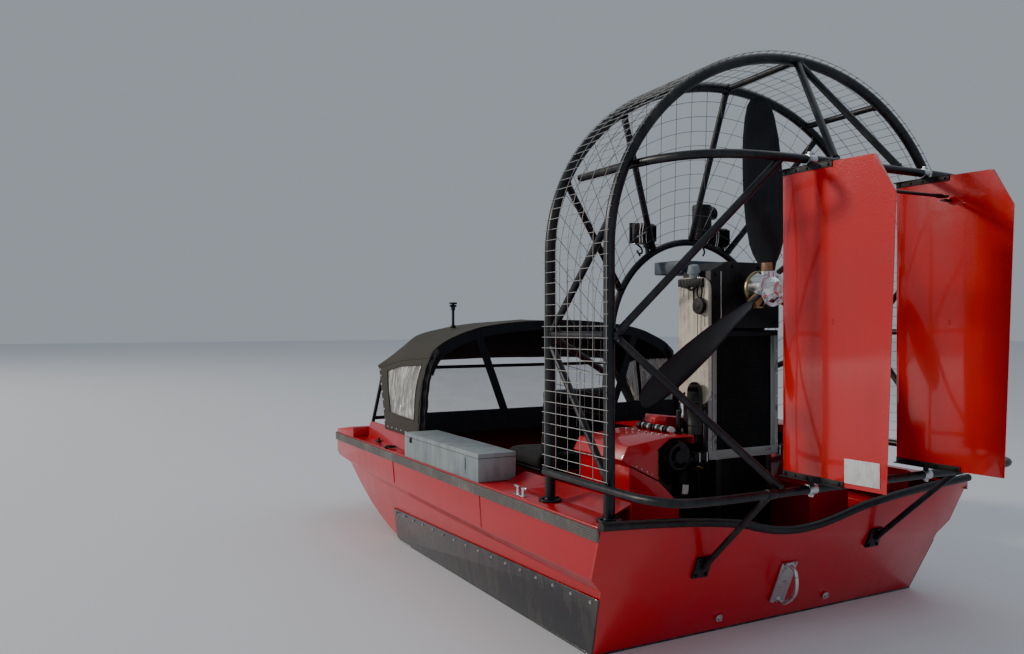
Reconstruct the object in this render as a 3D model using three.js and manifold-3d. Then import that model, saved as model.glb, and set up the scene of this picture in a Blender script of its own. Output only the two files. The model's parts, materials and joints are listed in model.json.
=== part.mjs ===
// Airboat: blunt aluminium hull, forward canopy, caged propeller over the stern and two air rudders.
// Millimetres, +Z up, +Y to the bow, +X to starboard.
// Stations (y) are measured forward from the foot of the transom while the pieces are made; the whole
// boat is then moved so that the origin lies under the middle of its length, on the ground.

import * as THREE from 'three';
import { mergeVertices } from 'three/addons/utils/BufferGeometryUtils.js';
import Module from 'manifold-3d';

const wasm = await Module();
wasm.setup();

// Driving dimensions

const GAP = 0.3;                 // clearance kept between touching pieces
const FRONT_END = 3500;          // front of the rub rail
const AFT_END = -1034;           // trailing edge of the rudders
const ORIGIN_Y = (FRONT_END + AFT_END) / 2;

const HULL = { plate: 12, skin: 10, front: 3486, half: 1198, corner: 180, gunwale: 633, rake: 0.4218 };
const BOW = { start: 2150, end: 3466, rise: 550, steps: 7 };
// Hull section at each station: height of the lower crease and of the step above it.
const SECTIONS = [
  // y, creaseZ, stepZ
  [-600, 330, 400],
  [1300, 342, 408],
  [2550, 366, 428],
  [3200, 404, 456],
  [3700, 440, 486],
];
const SECTION_HALF = { bottom: 1062, crease: 1112, step: 1180 };
const FLOOR = { high: 122, half: 1030, aft: 60, front: 2600 };
const DECK = { low: 633.3, high: 645, inner: 1036, aft: -245, front: 2950 };
const COAMING = {
  aftEnd: 860, aftTop: 690, aftInner: 930, upright: 885, top: 755, base: 1104, head: 1062, plate: 12,
};
const RAIL = { low: 584, high: 636, half: 1212 };
const TRIM = { diameter: 40 };
const SKIN_BAND = { aftTop: 295, midTop: 250, frontTop: 220, midY: 1300, frontY: 2380 };

const TUBE = { hoop: 50, rail: 34, brace: 38, bow: 25, strut: 28 };
const HOOP = { half: 1099, spring: 1810, foot: DECK.high + GAP };
const REAR_HOOP = { ...HOOP, y: -184, rise: 949 };
const FRONT_HOOP = { ...HOOP, y: 303, rise: 925 };
const INNER_ARCH = { half: 540, spring: 1410, rise: 530, foot: FLOOR.high + GAP, y: 600 };
const SIDE_RAIL_Z = 1435;
const BAR_FLAT = TUBE.brace / 2 * Math.cos(Math.PI / 8);   // from a bar's middle to its flats
const UPPER_BAR = { z: 2180, hinge: -606 };
const LOWER_BAR = { z: 790, hinge: -617 };
const GUARD = { wire: 6, wrapRows: 4, frontRings: 4, steps: 22, frontFoot: 975, wrapFoot: 815 };

const PROP = { y: 0, z: 1658, radius: 960, blades: 3, firstAngle: 94, hubRadius: 95, hubFront: 95 };
const RUDDER = {
  x: 370, hingeY: -600, nose: 140, tailTop: 440, tailLow: 390, low: 830, high: 2150,
  thick: 26, chamferChord: 100, chamferHigh: 170, pin: 24,
};
const TIE = { z: 2040, aft: 150, offset: 52, bar: 16, eye: 34, pin: 10, lift: 5 };

// Finishes

const finish = (color, roughness, metalness = 0, opacity = 1) => new THREE.MeshStandardMaterial({
  color, roughness, metalness, opacity, transparent: opacity < 1,
});
const RED = finish(0xbe0c14, 0.3);
const POLYMER = finish(0x2a2b2d, 0.35);
const ALUMINIUM = finish(0xa9adb1, 0.4, 0.8);
const BLACK_TUBE = finish(0x121416, 0.45);
const BLACK_PART = finish(0x1a1b1c, 0.6);
const RAIL_RUBBER = finish(0x6e6964, 0.8);
const TRIM_RUBBER = finish(0x141414, 0.5);
const CANVAS = finish(0x4b463a, 0.95);
const CURTAIN = finish(0x16171a, 0.9);
const CLEAR = finish(0xcfd6da, 0.15, 0, 0.4);
const LOCKER_GREY = finish(0x8c9696, 0.6);
const CREAM = finish(0xe1d7c3, 0.45);
const WIRE = finish(0xb4b4b0, 0.5, 0.6);
const BLADE = finish(0x0e0f11, 0.35);
const SEAT = finish(0x17181a, 0.8);

// Shape helpers

const vec = (x, y, z) => new THREE.Vector3(x, y, z);

function solid(geometry) {
  const bare = geometry.clone();
  bare.deleteAttribute('normal');
  bare.deleteAttribute('uv');
  const merged = mergeVertices(bare, 1e-3);
  return new wasm.Manifold(new wasm.Mesh({
    numProp: 3, vertProperties: merged.attributes.position.array, triVerts: merged.index.array,
  }));
}

function geometryOf(body) {
  const mesh = body.getMesh();
  const geometry = new THREE.BufferGeometry();
  geometry.setAttribute('position', new THREE.BufferAttribute(mesh.vertProperties, 3));
  geometry.setIndex(new THREE.BufferAttribute(mesh.triVerts, 1));
  return geometry;
}

const join = (...bodies) => bodies.reduce((whole, body) => whole.add(body));
const cut = (body, ...tools) => tools.reduce((left, tool) => left.subtract(tool), body);
const mirrored = (body) => body.mirror([1, 0, 0]);

// A flat outline given in two axes and pushed along the third from one value to another.
const PLANES = {
  xy: [vec(1, 0, 0), vec(0, 1, 0), vec(0, 0, 1)],
  yz: [vec(0, 1, 0), vec(0, 0, 1), vec(1, 0, 0)],
  xz: [vec(1, 0, 0), vec(0, 0, 1), vec(0, -1, 0)],
};

function slab(plane, outline, from, to) {
  const shape = outline instanceof THREE.Shape
    ? outline : new THREE.Shape(outline.map(([u, v]) => new THREE.Vector2(u, v)));
  const depth = to - from;
  const geometry = new THREE.ExtrudeGeometry(shape, { depth, bevelEnabled: false, curveSegments: 6 });
  geometry.applyMatrix4(new THREE.Matrix4().makeBasis(...PLANES[plane]));
  const shift = { xy: [0, 0, from], yz: [from, 0, 0], xz: [0, to, 0] }[plane];
  return solid(geometry.translate(...shift));
}

function block(low, high) {
  const size = high.map((value, i) => value - low[i]);
  const middle = high.map((value, i) => (value + low[i]) / 2);
  return solid(new THREE.BoxGeometry(...size).translate(...middle));
}

function bar(from, to, diameter, sides = 8) {
  const along = to.clone().sub(from);
  const geometry = new THREE.CylinderGeometry(diameter / 2, diameter / 2, along.length(), sides);
  const turn = new THREE.Quaternion().setFromUnitVectors(vec(0, 1, 0), along.clone().normalize());
  geometry.applyQuaternion(turn);
  const middle = from.clone().add(to).multiplyScalar(0.5);
  return solid(geometry.translate(middle.x, middle.y, middle.z));
}

function tube(curve, diameter, steps, sides = 8) {
  const ring = Array.from({ length: sides }, (_, i) => {
    const angle = (i + 0.5) * 2 * Math.PI / sides;
    return new THREE.Vector2(Math.cos(angle) * diameter / 2, Math.sin(angle) * diameter / 2);
  });
  return solid(new THREE.ExtrudeGeometry(new THREE.Shape(ring), {
    steps, extrudePath: curve, bevelEnabled: false,
  }));
}

// A skin through closed rings of points; flat() gives the plane in which the two end rings are filled.
function loft(rings, flat) {
  const count = rings[0].length;
  const index = [];
  for (let r = 0; r + 1 < rings.length; r += 1) {
    for (let i = 0; i < count; i += 1) {
      const a = r * count + i;
      const b = r * count + (i + 1) % count;
      index.push(a, b, b + count, a, b + count, a + count);
    }
  }
  [[0, true], [rings.length - 1, false]].forEach(([r, reversed]) => {
    const outline = rings[r].map(flat);
    const sense = Math.sign(THREE.ShapeUtils.area(outline));
    THREE.ShapeUtils.triangulateShape(outline, []).forEach((face) => {
      const faceSense = Math.sign(THREE.ShapeUtils.area(face.map((i) => outline[i])));
      const ordered = (faceSense === sense) !== reversed ? face : [...face].reverse();
      index.push(...ordered.map((i) => r * count + i));
    });
  });
  const points = rings.flat();
  let volume = 0;
  for (let i = 0; i < index.length; i += 3) {
    const [a, b, c] = [points[index[i]], points[index[i + 1]], points[index[i + 2]]];
    volume += a.dot(b.clone().cross(c));
  }
  if (volume < 0) index.reverse();
  const geometry = new THREE.BufferGeometry().setFromPoints(points);
  geometry.setIndex(index);
  return solid(geometry);
}

// Two straight legs and a half ellipse between them, in a plane across the boat.
class Arch extends THREE.Curve {
  constructor({ half, spring, rise, foot, y }, outward = 0) {
    super();
    Object.assign(this, { half: half + outward, spring, rise: rise + outward, foot, y });
    const arcLength = Math.PI * (this.half + this.rise) / 2;
    this.leg = (spring - foot) / (2 * (spring - foot) + arcLength);
  }

  getPoint(t, target = new THREE.Vector3()) {
    const height = this.spring - this.foot;
    if (t < this.leg) return target.set(-this.half, this.y, this.foot + height * t / this.leg);
    if (t > 1 - this.leg) return target.set(this.half, this.y, this.foot + height * (1 - t) / this.leg);
    const angle = Math.PI * (1 - (t - this.leg) / (1 - 2 * this.leg));
    return target.set(this.half * Math.cos(angle), this.y, this.spring + this.rise * Math.sin(angle));
  }
}

// The group of pieces, with each moving set in a group of its own

const boat = new THREE.Group();
boat.position.y = -ORIGIN_Y;

function add(name, body, material, parent = boat) {
  const mesh = new THREE.Mesh(geometryOf(body), material);
  mesh.name = name;
  parent.add(mesh);
  return mesh;
}

function addPair(name, portBody, material) {
  add(`${name}_port`, portBody, material);
  add(`${name}_starboard`, mirrored(portBody), material);
}

// Hull

const bowLine = (rise) => Array.from({ length: BOW.steps + 1 }, (_, i) => {
  const t = i / BOW.steps;
  return [BOW.start + (BOW.end - BOW.start) * t, HULL.skin + rise + BOW.rise * t * t];
});

const ring = (y, halves) => {
  const side = halves.map(([x, z]) => vec(x, y, z));
  return [...side, ...side.map((p) => vec(-p.x, y, p.z)).reverse()];
};

// The hull's outer form, brought in (or out) sideways by inset.
function hullSection(inset) {
  const { bottom, crease, step } = SECTION_HALF;
  return loft(SECTIONS.map(([y, creaseZ, stepZ]) => ring(y, [
    [bottom - inset, -40], [bottom - inset, HULL.skin], [crease - inset, creaseZ], [step - inset, stepZ],
    [HULL.half - inset, HULL.gunwale], [HULL.half - inset, HULL.gunwale + 60],
  ])), (p) => new THREE.Vector2(p.x, p.z));
}

const transomY = (z) => -HULL.rake * z;
const transomPlaneFoot = -100;
const transomPlaneHead = 800;

// Side view of the space between the transom and the bow, above the bottom by rise.
function hullProfile(rise, aftInset, frontInset, top) {
  const front = HULL.front - frontInset;
  return slab('yz', [
    [transomY(HULL.skin + rise) + aftInset, HULL.skin + rise],
    ...bowLine(rise).map(([y, z]) => [Math.min(y, front), z]).filter(([, z]) => z < top),
    [front, top], [transomY(top) + aftInset, top],
  ], -1300, 1300);
}

function bowPlan(half, front, corner) {
  const shape = new THREE.Shape();
  shape.moveTo(-half, -900);
  shape.lineTo(half, -900);
  shape.lineTo(half, front - corner);
  shape.absarc(half - corner, front - corner, corner, 0, Math.PI / 2);
  shape.lineTo(-half + corner, front);
  shape.absarc(-half + corner, front - corner, corner, Math.PI / 2, Math.PI);
  return shape;
}

const { plate } = HULL;
const planSolid = (inset) => slab(
  'xy', bowPlan(HULL.half - inset, HULL.front - inset, HULL.corner - inset), -60, 900,
);
const hullOuter = hullSection(0).intersect(hullProfile(0, 0, 0, HULL.gunwale)).intersect(planSolid(0));
const hullInner = hullSection(plate)
  .intersect(hullProfile(plate, plate * 1.1, plate, HULL.gunwale + 50)).intersect(planSolid(plate));
const hullShell = hullOuter.subtract(hullInner);

const aheadOfTransom = slab('yz', [
  [transomY(transomPlaneFoot) + plate * 1.1 + GAP, transomPlaneFoot], [4000, transomPlaneFoot],
  [4000, transomPlaneHead], [transomY(transomPlaneHead) + plate * 1.1 + GAP, transomPlaneHead],
], -1300, 1300);
const betweenSides = hullSection(plate + GAP);
const outsideSides = hullSection(plate);
const bowSplit = BOW.start;

const bottomShell = hullShell.intersect(aheadOfTransom).intersect(betweenSides);
add('hull_bottom', bottomShell.intersect(block([-1300, -500, -10], [1300, bowSplit, 900])), RED);
add('bow_rake', bottomShell.intersect(block([-1300, bowSplit + GAP, -10], [1300, 3600, 900])), RED);

const sideShell = hullShell.intersect(aheadOfTransom).subtract(outsideSides);
add('hull_side_port', sideShell.intersect(block([-1300, -500, 0], [0, 3600, 900])), RED);
add('hull_side_starboard', sideShell.intersect(block([0, -500, 0], [1300, 3600, 900])), RED);

// Transom top: full height at the corners, scooped towards the middle.
// x, z of the top edge from the middle outwards
const SCOOP = [
  [0, 476], [140, 487], [270, 515], [400, 550], [630, 586], [870, 610], [1100, 627], [1198, 633],
];
const scoopEdge = [...SCOOP.slice(1).map(([x, z]) => [-x, z]).reverse(), ...SCOOP];
const aboveScoop = slab(
  'xz', [...scoopEdge, [1300, 634], [1300, 900], [-1300, 900], [-1300, 634]], -900, 500,
);
const transomPlate = hullOuter.subtract(slab('yz', [
  [transomY(transomPlaneFoot) + plate * 1.1, transomPlaneFoot], [4000, transomPlaneFoot],
  [4000, transomPlaneHead], [transomY(transomPlaneHead) + plate * 1.1, transomPlaneHead],
], -1300, 1300)).subtract(aboveScoop);
const trimCurve = new THREE.CatmullRomCurve3(scoopEdge.map(([x, z]) => {
  const middle = z + TRIM.diameter / 2 - 2;
  return vec(x, transomY(middle) + plate / 2, middle);
}));
const trim = (grow) => tube(trimCurve, TRIM.diameter + 2 * grow, 26, 8);
add('transom', transomPlate.subtract(trim(GAP)), RED);
const deckEnds = block([-1300, DECK.aft - GAP, DECK.low - 1], [1300, 0, 900]);
add('transom_trim', trim(0).subtract(deckEnds), TRIM_RUBBER);

// Polymer skin under the bottom and up the sides
const skinProfile = hullProfile(-HULL.skin, 0, 0, HULL.gunwale);
const skinBody = hullSection(-8).intersect(skinProfile);
const bottomAft = transomY(HULL.skin);
const bottomSkinHalf = SECTION_HALF.bottom + 6;
add('bottom_skin', slab('yz', [
  [bottomAft, 0], [BOW.start, 0], [BOW.start, HULL.skin - GAP], [bottomAft, HULL.skin - GAP],
], -bottomSkinHalf, bottomSkinHalf), POLYMER);
const bandRegion = slab('yz', [
  [-300, HULL.skin], [SKIN_BAND.frontY, HULL.skin], [SKIN_BAND.frontY, SKIN_BAND.frontTop],
  [SKIN_BAND.midY, SKIN_BAND.midTop], [-300, SKIN_BAND.aftTop + 5],
], -1300, 1300);
const band = skinBody.intersect(bandRegion).subtract(hullSection(-GAP));
add('side_skin_port', band.intersect(block([-1300, -500, -10], [0, 3600, 900])), POLYMER);
add('side_skin_starboard', band.intersect(block([0, -500, -10], [1300, 3600, 900])), POLYMER);

// Rub rail round both gunwales and the bow
const railGap = RAIL.half - HULL.half;
const railOuter = slab('xy', bowPlan(RAIL.half, FRONT_END, HULL.corner + railGap), RAIL.low, RAIL.high);
const railInner = slab(
  'xy', bowPlan(HULL.half + GAP, HULL.front + GAP, HULL.corner + GAP), RAIL.low - 50, RAIL.high + 50,
);
const railAft = block([-1300, -1000, 0], [1300, DECK.aft - 10, 900]);
add('rub_rail', cut(railOuter, railInner, railAft), RAIL_RUBBER);

// Foam-filled floor lying on the bottom plate, cut to the rake at its front
add('floor', block([-FLOOR.half, FLOOR.aft, 0], [FLOOR.half, FLOOR.front, FLOOR.high])
  .intersect(hullProfile(plate + GAP, 30, 30, 600)), ALUMINIUM);

// Side decks with the low slanted coaming aft, and the upright coaming ahead of it
const deckRegion = planSolid(0);
const aftCoaming = slab('xz', [
  [-DECK.inner - 20, DECK.low], [-DECK.inner, DECK.low], [-COAMING.aftInner, COAMING.aftTop - 12],
  [-COAMING.aftInner, 560], [-COAMING.aftInner + 12, 560], [-COAMING.aftInner + 12, COAMING.aftTop],
  [-DECK.inner, DECK.high], [-DECK.inner - 20, DECK.high],
], -100, COAMING.aftEnd);
const coamingSection = (grow) => [
  [-COAMING.base - grow, DECK.high - 2], [-COAMING.head - grow, COAMING.top + grow],
  [-COAMING.head + COAMING.plate + grow, COAMING.top + grow],
  [-COAMING.base + COAMING.plate + grow, DECK.high - 2],
];
const deckPort = join(
  block([-HULL.half, DECK.aft, DECK.low], [-DECK.inner, DECK.front, DECK.high]), aftCoaming,
  slab('xz', coamingSection(0), COAMING.upright, DECK.front),
).intersect(deckRegion);
addPair('side_deck', deckPort, RED);

const foredeck = slab('yz', [
  [DECK.front + GAP, DECK.low], [HULL.front, DECK.low], [HULL.front, DECK.high],
  [DECK.front + 60, COAMING.top - 40], [DECK.front + GAP, COAMING.top - 40],
], -HULL.half, HULL.half).intersect(deckRegion);
add('foredeck', foredeck, RED);

// Deck locker over the port coaming, whose aft end it hides
const LOCKER = { low: [-1200, 872, DECK.high + GAP], high: [-972, 1920, 797] };
const lockerSlot = slab('xz', coamingSection(GAP), COAMING.upright - GAP, LOCKER.high[1] + 100);
add('deck_locker', block(LOCKER.low, LOCKER.high).subtract(lockerSlot), LOCKER_GREY);

// Windscreen and canopy

const SCREEN = { footY: 2975, footZ: 775, footHalf: 1030, headY: 2880, headZ: 1145, headHalf: 985, bar: 26 };
const screenPoint = (side, up) => vec(
  side * THREE.MathUtils.lerp(SCREEN.footHalf, SCREEN.headHalf, up),
  THREE.MathUtils.lerp(SCREEN.footY, SCREEN.headY, up),
  THREE.MathUtils.lerp(SCREEN.footZ, SCREEN.headZ, up),
);
const screenBars = (diameter) => join(
  bar(screenPoint(-1, -0.2), screenPoint(-1, 1.03), diameter),
  bar(screenPoint(1, -0.2), screenPoint(1, 1.03), diameter),
  bar(screenPoint(-1, 1), screenPoint(1, 1), diameter),
  bar(screenPoint(-1, 0), screenPoint(1, 0), diameter),
);
const belowForedeck = block([-1300, DECK.front - 100, 500], [1300, 3500, COAMING.top - 40 + GAP]);
add('windshield_frame', screenBars(SCREEN.bar).subtract(belowForedeck), BLACK_TUBE);
const paneHalf = 3;
const pane = loft([-paneHalf, paneHalf].map((shift) => [
  screenPoint(-1, 0), screenPoint(1, 0), screenPoint(1, 1), screenPoint(-1, 1),
].map((p) => vec(p.x, p.y + shift, p.z))), (p) => new THREE.Vector2(p.x, p.z));
add('windshield_pane', pane.subtract(screenBars(SCREEN.bar + 2 * GAP)), CLEAR);

// Canopy outline at three frames: hem, side, shoulder and roof points from the edge to the middle.
const CANOPY = { thick: 10 };
const CANOPY_FRAMES = [
  // each point: x, y, z
  [[1078, 2000, 736], [1070, 2000, 900], [1055, 2000, 1083], [1007, 2000, 1244], [920, 2000, 1345],
    [700, 2000, 1438], [410, 2000, 1485], [0, 2000, 1505]],
  [[1077, 2310, 736], [1064, 2370, 900], [1048, 2430, 1060], [1020, 2440, 1220], [940, 2440, 1378],
    [720, 2430, 1448], [410, 2430, 1486], [0, 2430, 1508]],
  [[1076, 2610, 736], [1052, 2720, 900], [1038, 2800, 1020], [1030, 2850, 1140], [1003, 2885, 1180],
    [720, 2890, 1200], [410, 2893, 1206], [0, 2895, 1210]],
];
const inward = (i, depth) => (i < 4 ? [depth, 0] : i === 4 ? [depth * 0.8, depth * 0.7] : [0, depth]);
const canopyRing = (frame, outer, inner) => {
  const offset = (depth) => frame.map(([x, y, z], i) => {
    const [dx, dz] = inward(i, depth);
    return vec(x - dx, y, z - dz);
  });
  const arch = (points) => [...points, ...points.slice(0, -1).reverse().map((p) => vec(-p.x, p.y, p.z))];
  return [...arch(offset(outer)), ...arch(offset(inner)).reverse()];
};
const canopyShell = loft(
  CANOPY_FRAMES.map((frame) => canopyRing(frame, 0, CANOPY.thick)), (p) => new THREE.Vector2(p.x, p.z),
);
const windowOutline = (inset) => [
  [2070 + inset, 848 + inset], [2548 - inset, 856 + inset], [2690 - inset, 1130 - inset],
  [2655 - inset, 1152 - inset], [2070 + inset, 1206 - inset],
];
const canopyCoamings = [coamingSection(GAP), coamingSection(GAP).map(([x, z]) => [-x, z])]
  .map((outline) => slab('xz', outline, 1900, 3000));
add('canopy', cut(canopyShell, slab('yz', windowOutline(0), -1300, 1300), ...canopyCoamings), CANVAS);
const windowPort = canopyShell.intersect(slab('yz', windowOutline(GAP), -1300, -800));
addPair('canopy_window', windowPort, CLEAR);

// Bent tubes that carry the canopy, just inside it
function canopyBow(frame, y, depth) {
  const points = frame.map(([x, , z], i) => {
    const [dx, dz] = inward(i, depth);
    return vec(x - dx, y, z - dz);
  });
  points[0] = vec(DECK.inner - 4, y, DECK.high - 40);
  const route = [...points.map((p) => vec(-p.x, p.y, p.z)), ...points.slice(0, -1).reverse()];
  return tube(new THREE.CatmullRomCurve3(route), TUBE.bow, 34, 6)
    .subtract(block([-1300, y - 60, 0], [1300, y + 60, DECK.high + GAP]));
}
add('canopy_bow_rear', canopyBow(CANOPY_FRAMES[0], 2020, CANOPY.thick + TUBE.bow / 2 + 16), BLACK_TUBE);
add('canopy_bow_middle', canopyBow(CANOPY_FRAMES[1], 2432, CANOPY.thick + TUBE.bow / 2 + 20), BLACK_TUBE);

// Rear curtain: low panel with two slanted straps up to the arch
const strap = (side) => [[side * 420, 880], [side * 480, 880], [side * 690, 1436], [side * 630, 1448]];
const curtainAft = 1990;
add('rear_curtain', join(
  slab('xz', [[-1064, 760], [1064, 760], [1060, 905], [-1060, 905]], curtainAft, 2000 - GAP),
  slab('xz', strap(1), curtainAft, 2000 - GAP), slab('xz', strap(-1), curtainAft, 2000 - GAP),
), CURTAIN);

const MAST = { x: -690, y: 2300, foot: 1420, clamp: 1585, top: 1628, diameter: 22, clampHalf: 25 };
const underRoof = loft(
  CANOPY_FRAMES.map((frame) => canopyRing(frame, -GAP, 60)), (p) => new THREE.Vector2(p.x, p.z),
);
add('roof_mast', join(
  bar(vec(MAST.x, MAST.y, MAST.foot), vec(MAST.x, MAST.y, MAST.clamp + 15), MAST.diameter),
  block(
    [MAST.x - MAST.clampHalf, MAST.y - 20, MAST.clamp], [MAST.x + MAST.clampHalf, MAST.y + 20, MAST.top],
  ),
).subtract(underRoof), BLACK_PART);

// Seats

const SEAT_AT = { x: -430, y: 1180, half: 240 };
add('driver_seat', join(
  slab('yz', [
    [SEAT_AT.y - 60, 620], [SEAT_AT.y + 420, 640], [SEAT_AT.y + 420, 720], [SEAT_AT.y + 60, 700],
    [SEAT_AT.y - 20, 1120], [SEAT_AT.y - 90, 1120],
  ], SEAT_AT.x - SEAT_AT.half, SEAT_AT.x + SEAT_AT.half),
  block([SEAT_AT.x - 80, 1200, FLOOR.high + GAP], [SEAT_AT.x + 80, 1500, FLOOR.high + 12]),
  bar(vec(SEAT_AT.x, 1350, FLOOR.high + 8), vec(SEAT_AT.x, 1350, 640), 90, 12),
), SEAT);

// Engine, drive and cooling

const STAND = {
  x: 250, half: 25, aft: 330, front: 1010, low: 300, high: 350, legs: [340, 950], crossLow: 250,
};
const standRails = [-1, 1].map((side) => block(
  [side * STAND.x - STAND.half, STAND.aft, STAND.low], [side * STAND.x + STAND.half, STAND.front, STAND.high],
));
const standLegs = STAND.legs.flatMap((aft) => {
  const front = aft + 2 * STAND.half;
  const legs = [-1, 1].map((side) => block(
    [side * STAND.x - STAND.half, aft, FLOOR.high + GAP],
    [side * STAND.x + STAND.half, front, STAND.low + 20],
  ));
  return [...legs, block([-STAND.x, aft, STAND.crossLow], [STAND.x, front, STAND.low])];
});
add('engine_stand', join(...standRails, ...standLegs), BLACK_TUBE);

const ENGINE = { aft: 400, front: 940, inset: 10 };
const DUCT = { half: 75, aft: 425, front: 570, foot: 870, top: 1750 };
const headOutline = [[-232, 636], [-104, 765], [-195, 868], [-330, 740]];
const headPort = slab('xz', headOutline, ENGINE.aft + ENGINE.inset, ENGINE.front - ENGINE.inset);
const crankcase = slab('xz', [
  [-150, 390], [150, 390], [190, 560], [240, 640], [110, 770], [0, 690],
  [-110, 770], [-240, 640], [-190, 560],
], ENGINE.aft, ENGINE.front);
const engineFeet = block([-290, 560, STAND.high + GAP], [290, 760, 420]);
const COVER = {
  half: 380, low: 928, side: 985, top: 1002, valley: 975, valleyHalf: 150, aft: 390, front: 565, corner: 45,
};
const intakeBox = block([-105, 440, 740], [105, 900, COVER.low]);
const duct = block([-DUCT.half, DUCT.aft, DUCT.foot], [DUCT.half, DUCT.front, DUCT.top - GAP]);
add('engine', join(crankcase, engineFeet, headPort, mirrored(headPort), intakeBox, duct), BLACK_PART);
add('air_box', block([-240, 384, DUCT.top], [140, 620, DUCT.top + 70]), LOCKER_GREY);

// Cover over both cylinder banks, lower between them, with its corners cut
const coverShoulder = COVER.half - (COVER.top - COVER.side);
const coverHalf = [
  [COVER.half, COVER.low + GAP], [COVER.half, COVER.side], [coverShoulder, COVER.top],
  [COVER.valleyHalf, COVER.valley],
];
const coverOutline = [...coverHalf, ...[...coverHalf].reverse().map(([x, z]) => [-x, z])];
const coverPlan = slab('xy', [
  [COVER.half, COVER.aft + COVER.corner], [COVER.half, COVER.front - COVER.corner],
  [COVER.half - COVER.corner, COVER.front], [COVER.corner - COVER.half, COVER.front],
  [-COVER.half, COVER.front - COVER.corner], [-COVER.half, COVER.aft + COVER.corner],
  [COVER.corner - COVER.half, COVER.aft], [COVER.half - COVER.corner, COVER.aft],
], 800, 1100);
const ductSlot = block([-DUCT.half - GAP, DUCT.aft - GAP, 800], [DUCT.half + GAP, DUCT.front + GAP, 1100]);
add('engine_cover', slab('xz', coverOutline, COVER.aft, COVER.front)
  .intersect(coverPlan).subtract(ductSlot), RED);

const MUFFLER = { x: 460, z: 830, aft: 120, front: 570, diameter: 160, pipe: 60 };
function exhaust() {
  const [aftEnd, frontEnd] = [MUFFLER.aft, MUFFLER.front].map((y) => vec(-MUFFLER.x, y, MUFFLER.z));
  const pipe = bar(vec(-MUFFLER.x, 520, MUFFLER.z - 30), vec(-330, 620, 700), MUFFLER.pipe);
  const headWithGap = headOutline.map(([x, z]) => [x - 2 * GAP, z - GAP]);
  const clearOfHead = slab('xz', headWithGap, ENGINE.aft, ENGINE.front);
  return cut(join(bar(aftEnd, frontEnd, MUFFLER.diameter, 14), pipe), clearOfHead, headPort);
}
addPair('exhaust', exhaust(), BLACK_PART);

// The drive's head reaches aft over the radiator and carries the propeller shaft.
const DRIVE = {
  half: 235, aft: 262, front: 380, low: 420, boss: 110, headAft: 160, headLow: 1460, headTop: 1803,
  topHalf: 135, side: 1755,
};
const driveHead = slab('xz', [
  [-DRIVE.half, DRIVE.headLow], [DRIVE.half, DRIVE.headLow], [DRIVE.half, DRIVE.side],
  [DRIVE.topHalf, DRIVE.headTop], [-DRIVE.topHalf, DRIVE.headTop], [-DRIVE.half, DRIVE.side],
], DRIVE.headAft, DRIVE.front);
add('drive_case', join(
  block([-DRIVE.half, DRIVE.aft, DRIVE.low], [DRIVE.half, DRIVE.front, DRIVE.headLow + 10]), driveHead,
  bar(vec(0, DRIVE.headAft, PROP.z), vec(0, PROP.hubFront + GAP, PROP.z), DRIVE.boss, 14),
  block([-150, DRIVE.front - 10, 430], [150, ENGINE.aft - GAP, 630]),
), BLACK_PART);

const CORE = { half: 215, aft: 178, front: 210, low: 838, high: 1420 };
const RIM = { half: 240, aft: 172, front: 216, low: 815, high: 1450 };
const CHANNEL = { half: 330, low: 790, high: 830, legOuter: 192, leg: 40 };
add('radiator_core', block([-CORE.half, CORE.aft, CORE.low], [CORE.half, CORE.front, CORE.high]), BLACK_PART);
const coreSlot = block([-CORE.half - GAP, 100, CORE.low - GAP], [CORE.half + GAP, 300, CORE.high + GAP]);
const radiatorRim = block([-RIM.half, RIM.aft, RIM.low], [RIM.half, RIM.front, RIM.high]).subtract(coreSlot);
const radiatorLeg = block(
  [-CHANNEL.legOuter, RIM.aft, FLOOR.high + GAP],
  [-CHANNEL.legOuter + CHANNEL.leg, RIM.front, CHANNEL.low + 10],
);
add('radiator_frame', join(
  radiatorRim, block([-CHANNEL.half, RIM.aft, CHANNEL.low], [CHANNEL.half, RIM.front, CHANNEL.high]),
  radiatorLeg, mirrored(radiatorLeg),
), ALUMINIUM);

const panelShape = new THREE.Shape();
panelShape.moveTo(150, 1150);
panelShape.absarc(230, 1150, 80, Math.PI, Math.PI * 1.5);
panelShape.lineTo(380, 1070);
panelShape.lineTo(380, 1720);
panelShape.lineTo(210, 1720);
panelShape.absarc(210, 1660, 60, Math.PI / 2, Math.PI);
const panelInner = -DRIVE.half - 5 - GAP;
add('drive_side_panel', slab('yz', panelShape, panelInner - 21.7, panelInner), CREAM);

// Fuel tanks: a wide foot, a folded fairing on top, and a sheet from it over the exhaust
const TANK = { outer: 750, inner: 580, aft: 148, front: 578 };
const SHEET = { end: 357, top: 928, under: 920, lip: 885, thick: 6 };
const tankPort = slab('xz', [
  [-TANK.outer, FLOOR.high + GAP], [-450, FLOOR.high + GAP], [-450, 600], [-TANK.inner, 720],
  [-TANK.inner, 870], [-505, SHEET.under], [-SHEET.end - SHEET.thick, SHEET.under],
  [-SHEET.end - SHEET.thick, SHEET.lip], [-SHEET.end, SHEET.lip], [-SHEET.end, SHEET.top],
  [-COVER.half - 20, SHEET.top], [-505, 931], [-760, 900], [-795, 835], [-TANK.outer, 800],
], TANK.aft, TANK.front);
addPair('fuel_tank', tankPort, RED);

// Cage

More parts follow.
